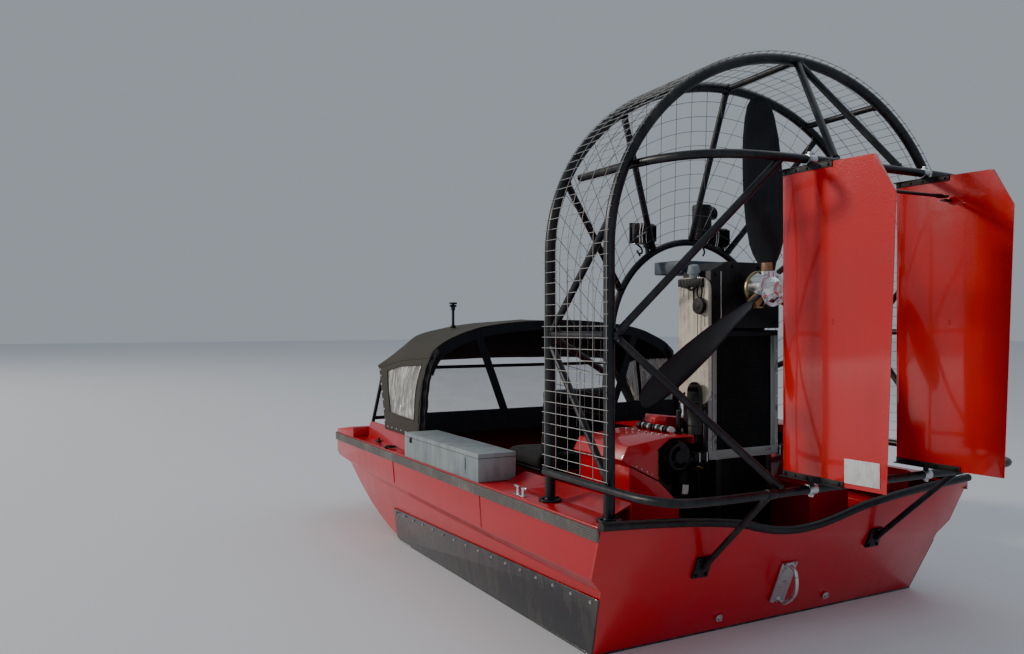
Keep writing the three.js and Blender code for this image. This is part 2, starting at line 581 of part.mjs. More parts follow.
const hoop = (frame, grow = 0) => tube(new Arch(frame), TUBE.hoop + 2 * grow, 38, 10);
const rearHoopTool = hoop(REAR_HOOP, GAP);
const frontHoopTool = hoop(FRONT_HOOP, GAP);
const footDiscs = (frame) => [-1, 1].map((side) => bar(
  vec(side * frame.half, frame.y, DECK.high + GAP), vec(side * frame.half, frame.y, DECK.high + 12), 110, 12,
));
add('rear_hoop', join(hoop(REAR_HOOP), ...footDiscs(REAR_HOOP)), BLACK_TUBE);

const onHoop = (frame, z, side) => {
  const up = Math.max(0, z - frame.spring) / frame.rise;
  return vec(side * frame.half * Math.sqrt(1 - up ** 2), frame.y, z);
};
const topOf = (frame) => frame.spring + frame.rise;
// The bars from hoop to hoop: height on the rear hoop, height on the front hoop.
const HOOP_BARS = [[2610, 2595], [SIDE_RAIL_Z, SIDE_RAIL_Z], [1950, 1430], [800, 1400]];
const hoopBars = HOOP_BARS.flatMap(([zRear, zFront]) => [-1, 1].map((side) => (
  bar(onHoop(REAR_HOOP, zRear, side), onHoop(FRONT_HOOP, zFront, side), TUBE.rail)
)));
add('front_hoop', join(
  hoop(FRONT_HOOP), ...footDiscs(FRONT_HOOP), ...hoopBars,
  bar(onHoop(REAR_HOOP, topOf(REAR_HOOP), 1), onHoop(FRONT_HOOP, topOf(FRONT_HOOP), 1), TUBE.rail),
).subtract(rearHoopTool), BLACK_TUBE);
const betweenHoops = (body) => cut(body, rearHoopTool, frontHoopTool);

// Rudder bars: bows in plan, from the front hoop round behind the rear one
// Each plan: x, y from the front hoop to near the middle.
const upperPlan = [
  [962, 250], [960, -184], [930, -350], [860, -480], [740, -560], [560, -598], [300, -612],
];
const lowerPlan = [
  [1136, 290], [1136, -300], [1120, -470], [1050, -580], [900, -612], [600, -617], [300, -617],
];
const levelRoute = (plan, z) => {
  const port = plan.map(([x, y]) => vec(-x, y, z));
  const starboard = plan.map(([x, y]) => vec(x, y, z)).reverse();
  return new THREE.CatmullRomCurve3([...port, vec(0, plan.at(-1)[1], z), ...starboard]);
};
const upperTool = tube(levelRoute(upperPlan, UPPER_BAR.z), TUBE.brace + 2 * GAP, 40);
const lowerTool = tube(levelRoute(lowerPlan, LOWER_BAR.z), TUBE.brace + 2 * GAP, 44);
const apex = onHoop(REAR_HOOP, topOf(REAR_HOOP), 1);
add('rudder_bar_upper', betweenHoops(join(
  tube(levelRoute(upperPlan, UPPER_BAR.z), TUBE.brace, 40),
  bar(apex, vec(-210, -612, UPPER_BAR.z), TUBE.rail), bar(apex, vec(210, -612, UPPER_BAR.z), TUBE.rail),
)), BLACK_TUBE);
add('rudder_bar_lower', betweenHoops(tube(levelRoute(lowerPlan, LOWER_BAR.z), TUBE.brace, 44)), BLACK_TUBE);

const BRACE_X = 520;
const braceRoot = onHoop(REAR_HOOP, SIDE_RAIL_Z, -1).add(vec(14, -20, 0));
addPair('brace_side', cut(join(
  bar(braceRoot, vec(-BRACE_X, -602, UPPER_BAR.z), TUBE.rail),
  bar(braceRoot, vec(-BRACE_X, LOWER_BAR.hinge, LOWER_BAR.z), TUBE.rail),
), rearHoopTool, upperTool, lowerTool), BLACK_TUBE);

// Inner arch with the spokes that join it to the front hoop
// z on the front hoop, then x and z on the inner arch
const SPOKES = [[2540, 260, 1880], [2170, 480, 1665], [1435, 540, 1200]];
const spokeEnds = SPOKES.flatMap(([zHoop, x, z]) => [-1, 1].map((side) => [
  onHoop(FRONT_HOOP, zHoop, side), vec(side * x, INNER_ARCH.y, z),
]));
spokeEnds.push([vec(0, FRONT_HOOP.y, topOf(FRONT_HOOP)), vec(0, INNER_ARCH.y, 1938)]);
add('inner_arch', join(
  tube(new Arch(INNER_ARCH), TUBE.brace, 30), ...spokeEnds.map(([a, b]) => bar(a, b, TUBE.rail)),
).subtract(frontHoopTool), BLACK_TUBE);

// Welded guard mesh: coarse wires over the hoops and across the front of the cage
class Lerped extends THREE.Curve {
  constructor(pointAt) {
    super();
    this.pointAt = pointAt;
  }

  getPoint(t, target = new THREE.Vector3()) {
    return target.copy(this.pointAt(t));
  }
}
const wireOffset = TUBE.hoop / 2 + GUARD.wire / 2 + GAP;
const wrapRear = new Arch({ ...REAR_HOOP, foot: GUARD.wrapFoot }, wireOffset);
const wrapFront = new Arch({ ...FRONT_HOOP, foot: GUARD.wrapFoot }, wireOffset);
const wrapPoint = (along, across) => wrapRear.getPoint(along).lerp(wrapFront.getPoint(along), across);
const between = (t, foot) => foot + (1 - 2 * foot) * t;
// Wires along the hoops, and straight wires that cross them where two facets of the long wires meet.
function wireNet(pointAt, rows, rowStart, rowEnd, foot, overhang) {
  const rowCurves = Array.from({ length: rows }, (_, i) => {
    const across = rowStart + (rowEnd - rowStart) * i / (rows - 1);
    return new Lerped((t) => pointAt(between(t, foot), across));
  });
  const crossings = Array.from({ length: GUARD.steps + 1 }, (_, i) => i / GUARD.steps);
  return join(
    ...rowCurves.map((curve) => tube(curve, GUARD.wire, GUARD.steps, 4)),
    ...crossings.map((u) => {
      const [first, last] = [rowCurves[0].getPointAt(u), rowCurves.at(-1).getPointAt(u)];
      const beyond = last.clone().sub(first).multiplyScalar(overhang);
      return bar(first.sub(beyond), last.add(beyond), GUARD.wire, 4);
    }),
  );
}
const wrapNet = wireNet(wrapPoint, GUARD.wrapRows, 0.2, 0.8, 0, 0.4);

const innerCurve = new Arch({ ...INNER_ARCH, foot: GUARD.frontFoot });
const outerCurve = new Arch({ ...FRONT_HOOP, foot: GUARD.frontFoot });
const sameLeg = (t, arch) => {
  const shared = outerCurve.leg;
  if (t < shared) return t / shared * arch.leg;
  if (t > 1 - shared) return 1 - (1 - t) / shared * arch.leg;
  return arch.leg + (t - shared) / (1 - 2 * shared) * (1 - 2 * arch.leg);
};
const netLift = vec(0, -(TUBE.hoop / 2 + GUARD.wire / 2 + GAP), 0);
const frontPoint = (along, across) => outerCurve.getPoint(along)
  .lerp(innerCurve.getPoint(sameLeg(along, innerCurve)), across).add(netLift);
const frontNet = wireNet(frontPoint, GUARD.frontRings, 0.0445, 0.93, 0, 0);

// Both nets come in panels, parted just beside the middle cross wire, and the wrap at its shoulders too.
const PARTING = { x: 20, z: 2120, far: 4000 };
const panelOf = (net, [xLow, xHigh], [zLow, zHigh]) => net.intersect(
  block([xLow, -PARTING.far, zLow], [xHigh, PARTING.far, zHigh]),
);
const sideRanges = [
  ['port', [-PARTING.far, PARTING.x - GAP / 2]],
  ['starboard', [PARTING.x + GAP / 2, PARTING.far]],
];
for (const [side, xRange] of sideRanges) {
  add(`guard_wrap_low_${side}`, panelOf(wrapNet, xRange, [0, PARTING.z - GAP / 2]), WIRE);
  add(`guard_wrap_top_${side}`, panelOf(wrapNet, xRange, [PARTING.z + GAP / 2, PARTING.far]), WIRE);
  add(`guard_front_${side}`, panelOf(frontNet, xRange, [0, PARTING.far]), WIRE);
}

// Lamps and horn on the inner arch
const archTop = (x) => vec(
  x, INNER_ARCH.y, INNER_ARCH.spring + INNER_ARCH.rise * Math.sqrt(1 - (x / INNER_ARCH.half) ** 2),
);
const HORN_X = 92;
const lamp = (x) => join(
  block([x - 80, INNER_ARCH.y - 10, 1920], [x + 80, INNER_ARCH.y + 70, 2040]),
  bar(archTop(x), vec(x, INNER_ARCH.y, 1925), 24),
);
const archTool = tube(new Arch(INNER_ARCH), TUBE.brace + 2 * GAP, 30);
const spokeTool = join(...spokeEnds.map(([a, b]) => bar(a, b, TUBE.rail + 2 * GAP)));
const archMounted = (body) => cut(body, archTool, spokeTool);
add('work_lamp_port', archMounted(lamp(-300)), BLACK_PART);
add('work_lamp_starboard', archMounted(lamp(230)), BLACK_PART);
add('horn', archMounted(join(
  bar(vec(HORN_X, INNER_ARCH.y + 10, 1960), vec(HORN_X, INNER_ARCH.y + 10, 2160), 112, 12),
  bar(archTop(HORN_X), vec(HORN_X, INNER_ARCH.y, 1970), 24),
)), BLACK_PART);

// Transom fittings

const strutHead = vec(-600, LOWER_BAR.hinge, LOWER_BAR.z);
const transomNormal = vec(0, -1, HULL.rake * -1).normalize();
const onTransom = (x, z, out) => vec(x, transomY(z), z).addScaledVector(transomNormal, out);
const padOnTransom = (x, z, half, high, thick) => loft([GAP, thick].map((out) => [
  [-half, -high], [half, -high], [half, high], [-half, high],
].map(([dx, dz]) => onTransom(x + dx, z + dz, out))), (p) => new THREE.Vector2(p.x, p.z));
addPair('transom_strut', join(
  padOnTransom(-575, 380, 45, 55, 14), bar(onTransom(-575, 380, 13.5), strutHead, TUBE.strut),
).subtract(lowerTool), BLACK_TUBE);
// Tow eye: height on the transom and distance out of it
const EYE_ROUTE = [[120, 10], [135, 60], [215, 95], [295, 60], [310, 10]];
const eyeCurve = new THREE.CatmullRomCurve3(EYE_ROUTE.map(([z, out]) => onTransom(0, z, out)));
add('tow_eye', join(padOnTransom(0, 215, 50, 115, 14), tube(eyeCurve, 20, 12)), ALUMINIUM);

// Propeller: hub and blades in a group at the shaft

const propeller = new THREE.Group();
propeller.position.set(0, PROP.y, PROP.z);
boat.add(propeller);
// Blade sections from root to tip.
const BLADE_SECTIONS = [
  // radius, chord, thickness, pitch in degrees
  [80, 70, 50, 58],
  [230, 165, 34, 44],
  [480, 205, 26, 29],
  [760, 190, 18, 20],
  [920, 130, 12, 17],
  [PROP.radius, 60, 6, 16],
];
const bladeOutline = [[-0.5, 0], [-0.25, 0.42], [0.15, 0.5], [0.5, 0], [0.15, -0.3], [-0.25, -0.25]];
const bladeAxis = vec(0, 0, 1);
const bladeRings = BLADE_SECTIONS.map(([radius, chord, thick, pitch]) => {
  const turn = -THREE.MathUtils.degToRad(pitch);
  return bladeOutline.map(([u, v]) => vec(u * chord, v * thick, radius).applyAxisAngle(bladeAxis, turn));
});
const hub = join(
  bar(vec(0, PROP.hubFront, 0), vec(0, -75, 0), 2 * PROP.hubRadius - 40, 16),
  bar(vec(0, 60, 0), vec(0, -45, 0), 2 * PROP.hubRadius, 16),
);
const bladeUp = loft(bladeRings, (p) => new THREE.Vector2(p.x, p.y));
const blades = Array.from({ length: PROP.blades }, (_, i) => (
  bladeUp.rotate([0, 90 - PROP.firstAngle - i * 360 / PROP.blades, 0])
));
add('propeller', join(hub, ...blades), BLADE, propeller);

// Rudders, each in a group at its hinge line, and the tie rod between them

const rudderPlan = (tail) => [
  [0, RUDDER.nose], [14, RUDDER.nose - 20], [RUDDER.thick, 20], [RUDDER.thick, -60], [5, -tail],
  [-5, -tail], [-RUDDER.thick, -60], [-RUDDER.thick, 20], [-14, RUDDER.nose - 20],
];
const rudderRing = (z, tail) => rudderPlan(tail).map(([x, y]) => vec(x, y, z));
function rudderBody(side) {
  const blade = loft(
    [rudderRing(RUDDER.low, RUDDER.tailLow), rudderRing(RUDDER.high, RUDDER.tailTop)],
    (p) => new THREE.Vector2(p.x, p.y),
  );
  const tailEnd = -RUDDER.tailTop - 1;
  const corner = slab('yz', [
    [tailEnd, RUDDER.high - RUDDER.chamferHigh],
    [-RUDDER.tailTop + RUDDER.chamferChord, RUDDER.high + 1], [tailEnd, RUDDER.high + 1],
  ], -60, 60);
  const upperY = UPPER_BAR.hinge - RUDDER.hingeY;
  const lowerY = LOWER_BAR.hinge - RUDDER.hingeY;
  const pins = join(
    bar(vec(0, upperY, RUDDER.high - 20), vec(0, upperY, UPPER_BAR.z - BAR_FLAT - GAP), RUDDER.pin),
    bar(vec(0, lowerY, RUDDER.low + 20), vec(0, lowerY, LOWER_BAR.z + BAR_FLAT + GAP), RUDDER.pin),
  );
  const inner = -side * TIE.offset;
  const lugTip = inner - 14 * side;
  const lug = block(
    [Math.min(0, lugTip), -TIE.aft - 14, TIE.z - 8], [Math.max(0, lugTip), -TIE.aft + 14, TIE.z],
  );
  const pinFoot = vec(inner, -TIE.aft, TIE.z - 1);
  const rodPin = side > 0 ? [] : [
    bar(pinFoot, vec(inner, -TIE.aft, TIE.z + TIE.lift + TIE.bar + 4), TIE.pin, 16),
    bar(pinFoot, vec(inner, -TIE.aft, TIE.z + TIE.lift - GAP), 2 * TIE.pin, 16),
  ];
  return join(blade.subtract(corner), pins, lug, ...rodPin);
}
for (const [name, side] of [['rudder_port', -1], ['rudder_starboard', 1]]) {
  const group = new THREE.Group();
  group.position.set(side * RUDDER.x, RUDDER.hingeY, 0);
  boat.add(group);
  add(name, rudderBody(side), RED, group);
}

const rodEnd = RUDDER.x - TIE.offset;
const rodAt = (x, up) => vec(x, RUDDER.hingeY - TIE.aft, TIE.z + TIE.lift + up);
add('tie_rod', join(
  bar(rodAt(-rodEnd, TIE.bar / 2), rodAt(rodEnd, TIE.bar / 2), TIE.bar),
  ...[-1, 1].map((side) => bar(rodAt(side * rodEnd, 0), rodAt(side * rodEnd, TIE.bar), TIE.eye, 16)),
).subtract(bar(rodAt(-rodEnd, -5), rodAt(-rodEnd, TIE.bar + 5), TIE.pin + 4 * GAP, 16)), BLACK_TUBE);

export default boat;
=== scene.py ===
# %% [markdown]
# An airboat in a studio
#
# This lesson dresses a red airboat: a blunt aluminium hull on a sheet of slippery polymer, a canvas canopy
# forward, and a big caged propeller with two air rudders over the stern. The solid parts arrive from the
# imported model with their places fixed. Each cell below gives one of them its real surface, or stands a
# finer piece in its place.

# %% Load the fixed frame
import json
import math
import random
from functools import partial

import bmesh
import bpy
from mathutils import Matrix, Vector, noise

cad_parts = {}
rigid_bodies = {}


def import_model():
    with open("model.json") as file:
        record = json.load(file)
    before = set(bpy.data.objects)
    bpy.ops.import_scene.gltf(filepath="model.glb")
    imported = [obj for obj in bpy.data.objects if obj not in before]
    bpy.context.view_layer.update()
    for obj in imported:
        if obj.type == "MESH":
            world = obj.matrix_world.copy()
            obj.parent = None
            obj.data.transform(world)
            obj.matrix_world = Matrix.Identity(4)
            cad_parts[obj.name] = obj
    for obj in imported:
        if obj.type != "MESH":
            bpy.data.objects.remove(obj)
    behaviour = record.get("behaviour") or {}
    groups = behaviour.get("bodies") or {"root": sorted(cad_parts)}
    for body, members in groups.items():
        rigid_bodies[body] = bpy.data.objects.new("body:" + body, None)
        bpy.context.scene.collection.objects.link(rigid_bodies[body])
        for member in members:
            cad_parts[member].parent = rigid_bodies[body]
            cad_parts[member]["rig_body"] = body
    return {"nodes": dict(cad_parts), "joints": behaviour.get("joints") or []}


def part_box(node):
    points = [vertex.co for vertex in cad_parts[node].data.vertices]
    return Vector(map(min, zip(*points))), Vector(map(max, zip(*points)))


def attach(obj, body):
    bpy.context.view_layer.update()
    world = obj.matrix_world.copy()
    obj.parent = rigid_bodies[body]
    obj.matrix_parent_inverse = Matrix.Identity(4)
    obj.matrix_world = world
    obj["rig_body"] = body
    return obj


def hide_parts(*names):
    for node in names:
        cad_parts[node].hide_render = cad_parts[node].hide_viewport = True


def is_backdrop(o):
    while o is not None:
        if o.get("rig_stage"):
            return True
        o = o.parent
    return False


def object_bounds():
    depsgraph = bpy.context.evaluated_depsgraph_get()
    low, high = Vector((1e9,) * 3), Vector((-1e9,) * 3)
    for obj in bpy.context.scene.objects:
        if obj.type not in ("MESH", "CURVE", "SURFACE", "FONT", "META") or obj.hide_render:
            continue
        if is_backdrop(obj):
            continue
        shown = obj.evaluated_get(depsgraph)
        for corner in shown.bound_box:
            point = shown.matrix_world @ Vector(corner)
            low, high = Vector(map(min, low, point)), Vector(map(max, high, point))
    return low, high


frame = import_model()
cad_low, cad_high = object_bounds()
nodes = frame["nodes"]
scene = bpy.context.scene
random.seed(7)
print("the model holds", len(nodes), "nodes, in a box", [round(v, 3) for v in cad_high - cad_low])

# %% [markdown]
# The propeller's plane is the natural place to measure from along the boat, because hull, cage and
# rudders were all set out from the transom's foot, which lies straight under it. The helper below turns a
# distance to starboard, a distance forward of that plane and a height into a point.

# %% Places on the boat
joints = {joint["name"]: Vector(joint["pos_m"]) for joint in frame["joints"]}
shaft = joints["propeller_spin"]


def at(x, y, z):
    """A point to starboard, forward of the propeller's plane, and above the ground, in metres."""
    return Vector((x, shaft.y + y, z))


def mirror_line(points):
    """The same points on the other side of the boat."""
    return [Vector((-p.x, p.y, p.z)) for p in points]


SIDES = {"port": -1, "starboard": 1}
BOTH = tuple(SIDES.values())
PORT_OUT = Vector((-1, 0, 0))
UP = Vector((0, 0, 1))
AFT = Vector((0, -1, 0))
FORWARD = Vector((0, 1, 0))
print("the propeller's plane is at", round(shaft.y, 3))

# %% [markdown]
# The camera stands where the photographer stood: eye height, off the port quarter, looking level. The
# focal length and the small shift come from the picture's width and from its horizon, which lies a little
# above the middle row.

# %% Camera
EYE = at(-3.2337, -3.2565, 1.5)
HEADING = math.radians(28.452)
PICTURE_WIDTH = 1024
FOCAL_PIXELS = 874.54
HORIZON_ABOVE_MIDDLE = 6.36

camera_data = bpy.data.cameras.new("camera")
camera_data.sensor_width = 36.0
camera_data.lens = camera_data.sensor_width * FOCAL_PIXELS / PICTURE_WIDTH
camera_data.shift_y = -HORIZON_ABOVE_MIDDLE / PICTURE_WIDTH
camera = bpy.data.objects.new("camera", camera_data)
camera.location = EYE
camera.rotation_euler = (math.pi / 2, 0, -HEADING)
scene.collection.objects.link(camera)
scene.camera = camera
print("lens", round(camera_data.lens, 2), "mm")

# %% [markdown]
# The light is a plain soft studio: a pale world all round, and one large lamp low on the port bow, which
# leaves the transom in shade and throws the cage's faint shadow on the rudders. The floor is a pale plane.

# %% Light and floor
world = bpy.data.worlds.new("studio")
scene.world = world
world.use_nodes = True
world.node_tree.nodes["Background"].inputs["Color"].default_value = (0.70, 0.77, 0.86, 1)
world.node_tree.nodes["Background"].inputs["Strength"].default_value = 0.74


def soft_lamp(name, place, target, size, power, colour):
    """A square area lamp that looks at a target."""
    data = bpy.data.lights.new(name, "AREA")
    data.size = size
    data.energy = power
    data.color = colour
    lamp_object = bpy.data.objects.new(name, data)
    lamp_object.location = place
    lamp_object.rotation_euler = (target - place).to_track_quat("-Z", "Y").to_euler()
    scene.collection.objects.link(lamp_object)
    return lamp_object


MIDSHIPS = at(0, 1.2, 1.0)
soft_lamp("key_lamp", at(-27.0, 17.1, 14.5), MIDSHIPS, 3.2, 9900, (1.0, 0.92, 0.82))
soft_lamp("fill_lamp", at(-5.0, -8.0, 5.0), MIDSHIPS, 6.0, 60, (0.86, 0.92, 1.0))
soft_lamp("top_lamp", at(3.0, 1.0, 8.0), MIDSHIPS, 7.0, 150, (0.95, 0.97, 1.0))
scene.view_settings.view_transform = "AgX"
scene.view_settings.look = "AgX - Punchy"
print("three lamps")

# %% [markdown]
# A finish is a small tree of nodes. Most of them share a few effects, so each effect is a group with
# named sockets: it is built once and placed in each material with its own values. The helper puts a node
# in a tree and connects or fills its inputs in one call.

# %% Node helpers
FLOAT, COLOUR, VECTOR = "NodeSocketFloat", "NodeSocketColor", "NodeSocketVector"


def fill(tree, node, inputs):
    """Links a node's inputs to other nodes' sockets, or gives them their values."""
    for key, value in inputs.items():
        socket = node.inputs[key]
        if isinstance(value, bpy.types.NodeSocket):
            tree.links.new(value, socket)
        else:
            socket.default_value = (*value, 1) if socket.type == "RGBA" else value


def put(tree, kind, inputs, **settings):
    """Adds a node with its settings and inputs."""
    node = tree.nodes.new(kind)
    for key, value in settings.items():
        setattr(node, key, value)
    fill(tree, node, inputs)
    return node


def new_group(name, inputs, outputs):
    """An empty node group: its tree, the sockets that come in, and the node that they go out by."""
    tree = bpy.data.node_groups.new(name, "ShaderNodeTree")
    for way, sockets in (("INPUT", inputs), ("OUTPUT", outputs)):
        for socket, kind in sockets.items():
            tree.interface.new_socket(socket, in_out=way, socket_type=kind)
    return tree, tree.nodes.new("NodeGroupInput").outputs, tree.nodes.new("NodeGroupOutput")


def use_group(tree, group, inputs):
    """Places a group in a tree and gives the sockets that come out of it."""
    return put(tree, "ShaderNodeGroup", inputs, node_tree=group).outputs


def math_node(tree, operation, a, b, clamp=False):
    """The result of one sum."""
    return put(tree, "ShaderNodeMath", {0: a, 1: b}, operation=operation, use_clamp=clamp).outputs[0]


def sums(tree):
    """Three functions for one tree: a and b added, b taken from a, and a times b."""
    return [partial(math_node, tree, operation) for operation in ("ADD", "SUBTRACT", "MULTIPLY")]


def own_place(tree):
    """The place on the piece itself, in metres."""
    return put(tree, "ShaderNodeTexCoord", {}).outputs["Object"]


def stretched(tree, place, scale):
    """A place with each direction scaled on its own."""
    return put(tree, "ShaderNodeMapping", {"Vector": place, "Scale": scale}).outputs[0]


def speckle(tree, place, scale, detail, **more):
    """The value of a noise texture."""
    inputs = {"Vector": place, "Scale": scale, "Detail": detail, **more}
    return put(tree, "ShaderNodeTexNoise", inputs).outputs["Fac"]


def blend(tree, amount, first, second):
    """A colour that runs from the first to the second."""
    return put(tree, "ShaderNodeMix", {0: amount, 6: first, 7: second}, data_type="RGBA").outputs[2]


# %% [markdown]
# Weather is the effect that outdoor paint, rubber and metal have in common: broad patches where dirt or
# frost has dried, streaks that run down, and a fine unevenness in the gloss. Noise on the object's own
# coordinates gives all three, so the pattern stays put on a piece when it moves.

# %% Weather group
STREAK_STRETCH = (7.0, 7.0, 0.8)
STREAK_SHARE = 0.6
DIRT_LEVEL = 0.74
DIRT_EDGE = 3.2
FINE_SCALE = 160.0
FINE_GLOSS = 0.06
FINE_RELIEF = 0.25


def build_weather():
    """Dirt in patches and streaks between two colours, with its gloss and its relief."""
    tree, given, result = new_group(
        "weather",
        {"Clean": COLOUR, "Soiled": COLOUR, "Amount": FLOAT, "Size": FLOAT, "Gloss": FLOAT,
         "Dulling": FLOAT},
        {"Color": COLOUR, "Roughness": FLOAT, "Height": FLOAT},
    )
    add, less, times = sums(tree)
    place = own_place(tree)
    patches = speckle(tree, place, given["Size"], 6.0, Roughness=0.62)
    streaks = speckle(tree, stretched(tree, place, STREAK_STRETCH), given["Size"], 3.0)
    fine = speckle(tree, place, FINE_SCALE, 2.0)
    both = add(patches, times(streaks, STREAK_SHARE))
    mask = times(times(less(both, DIRT_LEVEL), DIRT_EDGE, clamp=True), given["Amount"], clamp=True)
    rough = add(given["Gloss"], times(mask, given["Dulling"]))
    fill(tree, result, {
        "Color": blend(tree, mask, given["Clean"], given["Soiled"]),
        "Roughness": add(rough, times(fine, FINE_GLOSS), clamp=True),
        "Height": add(times(fine, FINE_RELIEF), times(patches, 1 - FINE_RELIEF)),
    })
    return tree


weather = build_weather()
print("group", weather.name)

# %% [markdown]
# Three more shared effects: the crossed threads of canvas, the fine parallel scratches of rolled or
# brushed metal, and chips, where paint has worn off and something else shows through.

# %% Weave, brushing and chips groups
SCRATCH_GLOSS = 0.5
CHIP_EDGE = 24.0


def build_weave():
    """Crossed threads, and patches where the coating fades, which also serve as painted shade of the folds.
    """
    tree, given, result = new_group("weave", {"Place": VECTOR, "Threads": FLOAT},
                                    {"Height": FLOAT, "Shade": FLOAT})
    inputs = {"Vector": given["Place"], "Distortion": 0.4, "Scale": given["Threads"], "Detail Scale": 2.0}
    waves = [put(tree, "ShaderNodeTexWave", inputs, bands_direction=way).outputs["Fac"]
             for way in ("X", "Y")]
    fill(tree, result, {"Height": math_node(tree, "MULTIPLY", *waves),
                        "Shade": speckle(tree, given["Place"], 2.4, 5.0)})
    return tree


def build_brushing():
    """Fine scratches along one direction, duller in spots."""
    tree, given, result = new_group("brushing", {"Along": VECTOR, "Gloss": FLOAT},
                                    {"Roughness": FLOAT, "Height": FLOAT})
    add, _, times = sums(tree)
    place = own_place(tree)
    lines = speckle(tree, stretched(tree, place, given["Along"]), 20.0, 4.0)
    dull = times(times(lines, speckle(tree, place, 9.0, 3.0)), SCRATCH_GLOSS)
    fill(tree, result, {"Roughness": add(given["Gloss"], dull, clamp=True), "Height": lines})
    return tree


def build_chips():
    """Chips of a size that take up a share of the paint."""
    tree, given, result = new_group(
        "chips", {"Paint": COLOUR, "Under": COLOUR, "Size": FLOAT, "Share": FLOAT},
        {"Color": COLOUR, "Mask": FLOAT},
    )
    _, less, times = sums(tree)
    small = speckle(tree, own_place(tree), given["Size"], 8.0, Roughness=0.7)
    mask = times(less(small, less(1.0, given["Share"])), CHIP_EDGE, clamp=True)
    fill(tree, result, {"Color": blend(tree, mask, given["Paint"], given["Under"]), "Mask": mask})
    return tree


weave = build_weave()
brushing = build_brushing()
chips = build_chips()
print("groups", weave.name, brushing.name, chips.name)

# %% [markdown]
# A finish made with the weather group needs only its two colours and a few numbers, so one function makes
# all of that family: paint, rubber, polymer and plastic. Chips are mixed in where a paint has worn
# through. Each material remembers which slot of the record it belongs to.

# %% Painted and plastic finishes
COAT_ROUGHNESS = 0.06
CHIP_DULLING = 0.2
finishes = {}


def new_material(name, slot):
    """The tree and the shader of a new finish, which remembers the record's slot that it belongs to."""
    material = finishes[name] = bpy.data.materials.new(name)
    material.use_nodes = True
    material["slot"] = slot
    return material.node_tree, material.node_tree.nodes["Principled BSDF"]


def relief_normal(tree, height, distance):
    """The normal of a surface with a relief so deep."""
    return put(tree, "ShaderNodeBump", {"Height": height, "Distance": distance}).outputs["Normal"]


def weathered(name, slot, clean, soiled, amount, size, gloss, dulling, relief, coat=0.0, chip=None):
    """Paint, rubber or plastic that has stood outdoors. chip is (colour under the paint, size, share)."""
    tree, shader = new_material(name, slot)
    surface = use_group(tree, weather, {"Clean": clean, "Soiled": soiled, "Amount": amount, "Size": size,
                                        "Gloss": gloss, "Dulling": dulling})
    colour, rough = surface["Color"], surface["Roughness"]
    if chip:
        add, _, times = sums(tree)
        worn = use_group(tree, chips, {"Paint": colour, **dict(zip(("Under", "Size", "Share"), chip))})
        colour = worn["Color"]
        rough = add(rough, times(worn["Mask"], CHIP_DULLING), clamp=True)
    fill(tree, shader, {
        "Base Color": colour, "Roughness": rough, "Coat Weight": coat, "Coat Roughness": COAT_ROUGHNESS,
        "Normal": relief_normal(tree, surface["Height"], relief),
    })


WEATHERED = [
    # name, slot, clean, soiled, amount, size, gloss, dulling, relief, coat, chip
    ("red_paint", "red_paint", (0.56, 0.005, 0.012), (0.40, 0.030, 0.034), 0.5, 1.7, 0.26, 0.2,
     0.0012, 0.45, ((0.55, 0.32, 0.28), 46.0, 0.26)),
    ("rudder_paint", "red_paint", (0.62, 0.012, 0.014), (0.42, 0.02, 0.022), 0.5, 2.2, 0.16, 0.16,
     0.0018, 0.7, ((0.6, 0.35, 0.3), 60.0, 0.25)),
    ("tube_black", "black_tube", (0.011, 0.012, 0.014), (0.06, 0.055, 0.05), 0.5, 5.0, 0.32, 0.25,
     0.0005, 0.0, ((0.26, 0.245, 0.22), 38.0, 0.32)),
    ("part_black", "black_part", (0.016, 0.016, 0.018), (0.05, 0.045, 0.038), 0.8, 8.0, 0.5, 0.3, 0.001),
    ("polymer", "polymer", (0.03, 0.031, 0.034), (0.11, 0.095, 0.08), 0.75, 3.2, 0.2, 0.35, 0.002, 0.3),
    ("rail_rubber", "rail_rubber", (0.13, 0.12, 0.112), (0.27, 0.245, 0.22), 0.8, 6.0, 0.62, 0.2,
     0.0015, 0.0, ((0.34, 0.06, 0.05), 30.0, 0.27)),
    ("trim_rubber", "trim_rubber", (0.012, 0.012, 0.013), (0.05, 0.048, 0.045), 0.5, 7.0, 0.34, 0.3,
     0.0008),
    ("locker_paint", "grey_paint", (0.30, 0.345, 0.35), (0.16, 0.185, 0.2), 0.8, 3.4, 0.42, 0.14,
     0.0008, 0.0, ((0.12, 0.12, 0.12), 70.0, 0.26)),
    ("steel_grey", "grey_paint", (0.075, 0.095, 0.12), (0.04, 0.045, 0.055), 0.7, 5.0, 0.45, 0.15, 0.0006),
    ("cream_paint", "cream_paint", (0.74, 0.67, 0.54), (0.24, 0.19, 0.13), 0.75, 6.5, 0.34, 0.2,
     0.0006, 0.2, ((0.03, 0.03, 0.03), 60.0, 0.27)),
    ("hose_rubber", "black_part", (0.014, 0.014, 0.015), (0.05, 0.046, 0.04), 0.5, 14.0, 0.55, 0.2, 0.0004),
    ("olive_rubber", "black_part", (0.022, 0.024, 0.021), (0.06, 0.058, 0.05), 0.7, 16.0, 0.5, 0.2, 0.0004),
    ("blade_carbon", "blade", (0.011, 0.011, 0.013), (0.03, 0.03, 0.032), 0.5, 9.0, 0.3, 0.2, 0.0003),
    ("piping_olive", "canvas", (0.075, 0.062, 0.045), (0.13, 0.11, 0.08), 0.6, 20.0, 0.5, 0.2, 0.0004),
    ("root_tan", "blade", (0.36, 0.2, 0.1), (0.16, 0.09, 0.05), 0.7, 22.0, 0.4, 0.2, 0.0004),
    ("plate_white", "cream_paint", (0.72, 0.72, 0.7), (0.42, 0.36, 0.34), 0.6, 26.0, 0.4, 0.2, 0.0004),
]
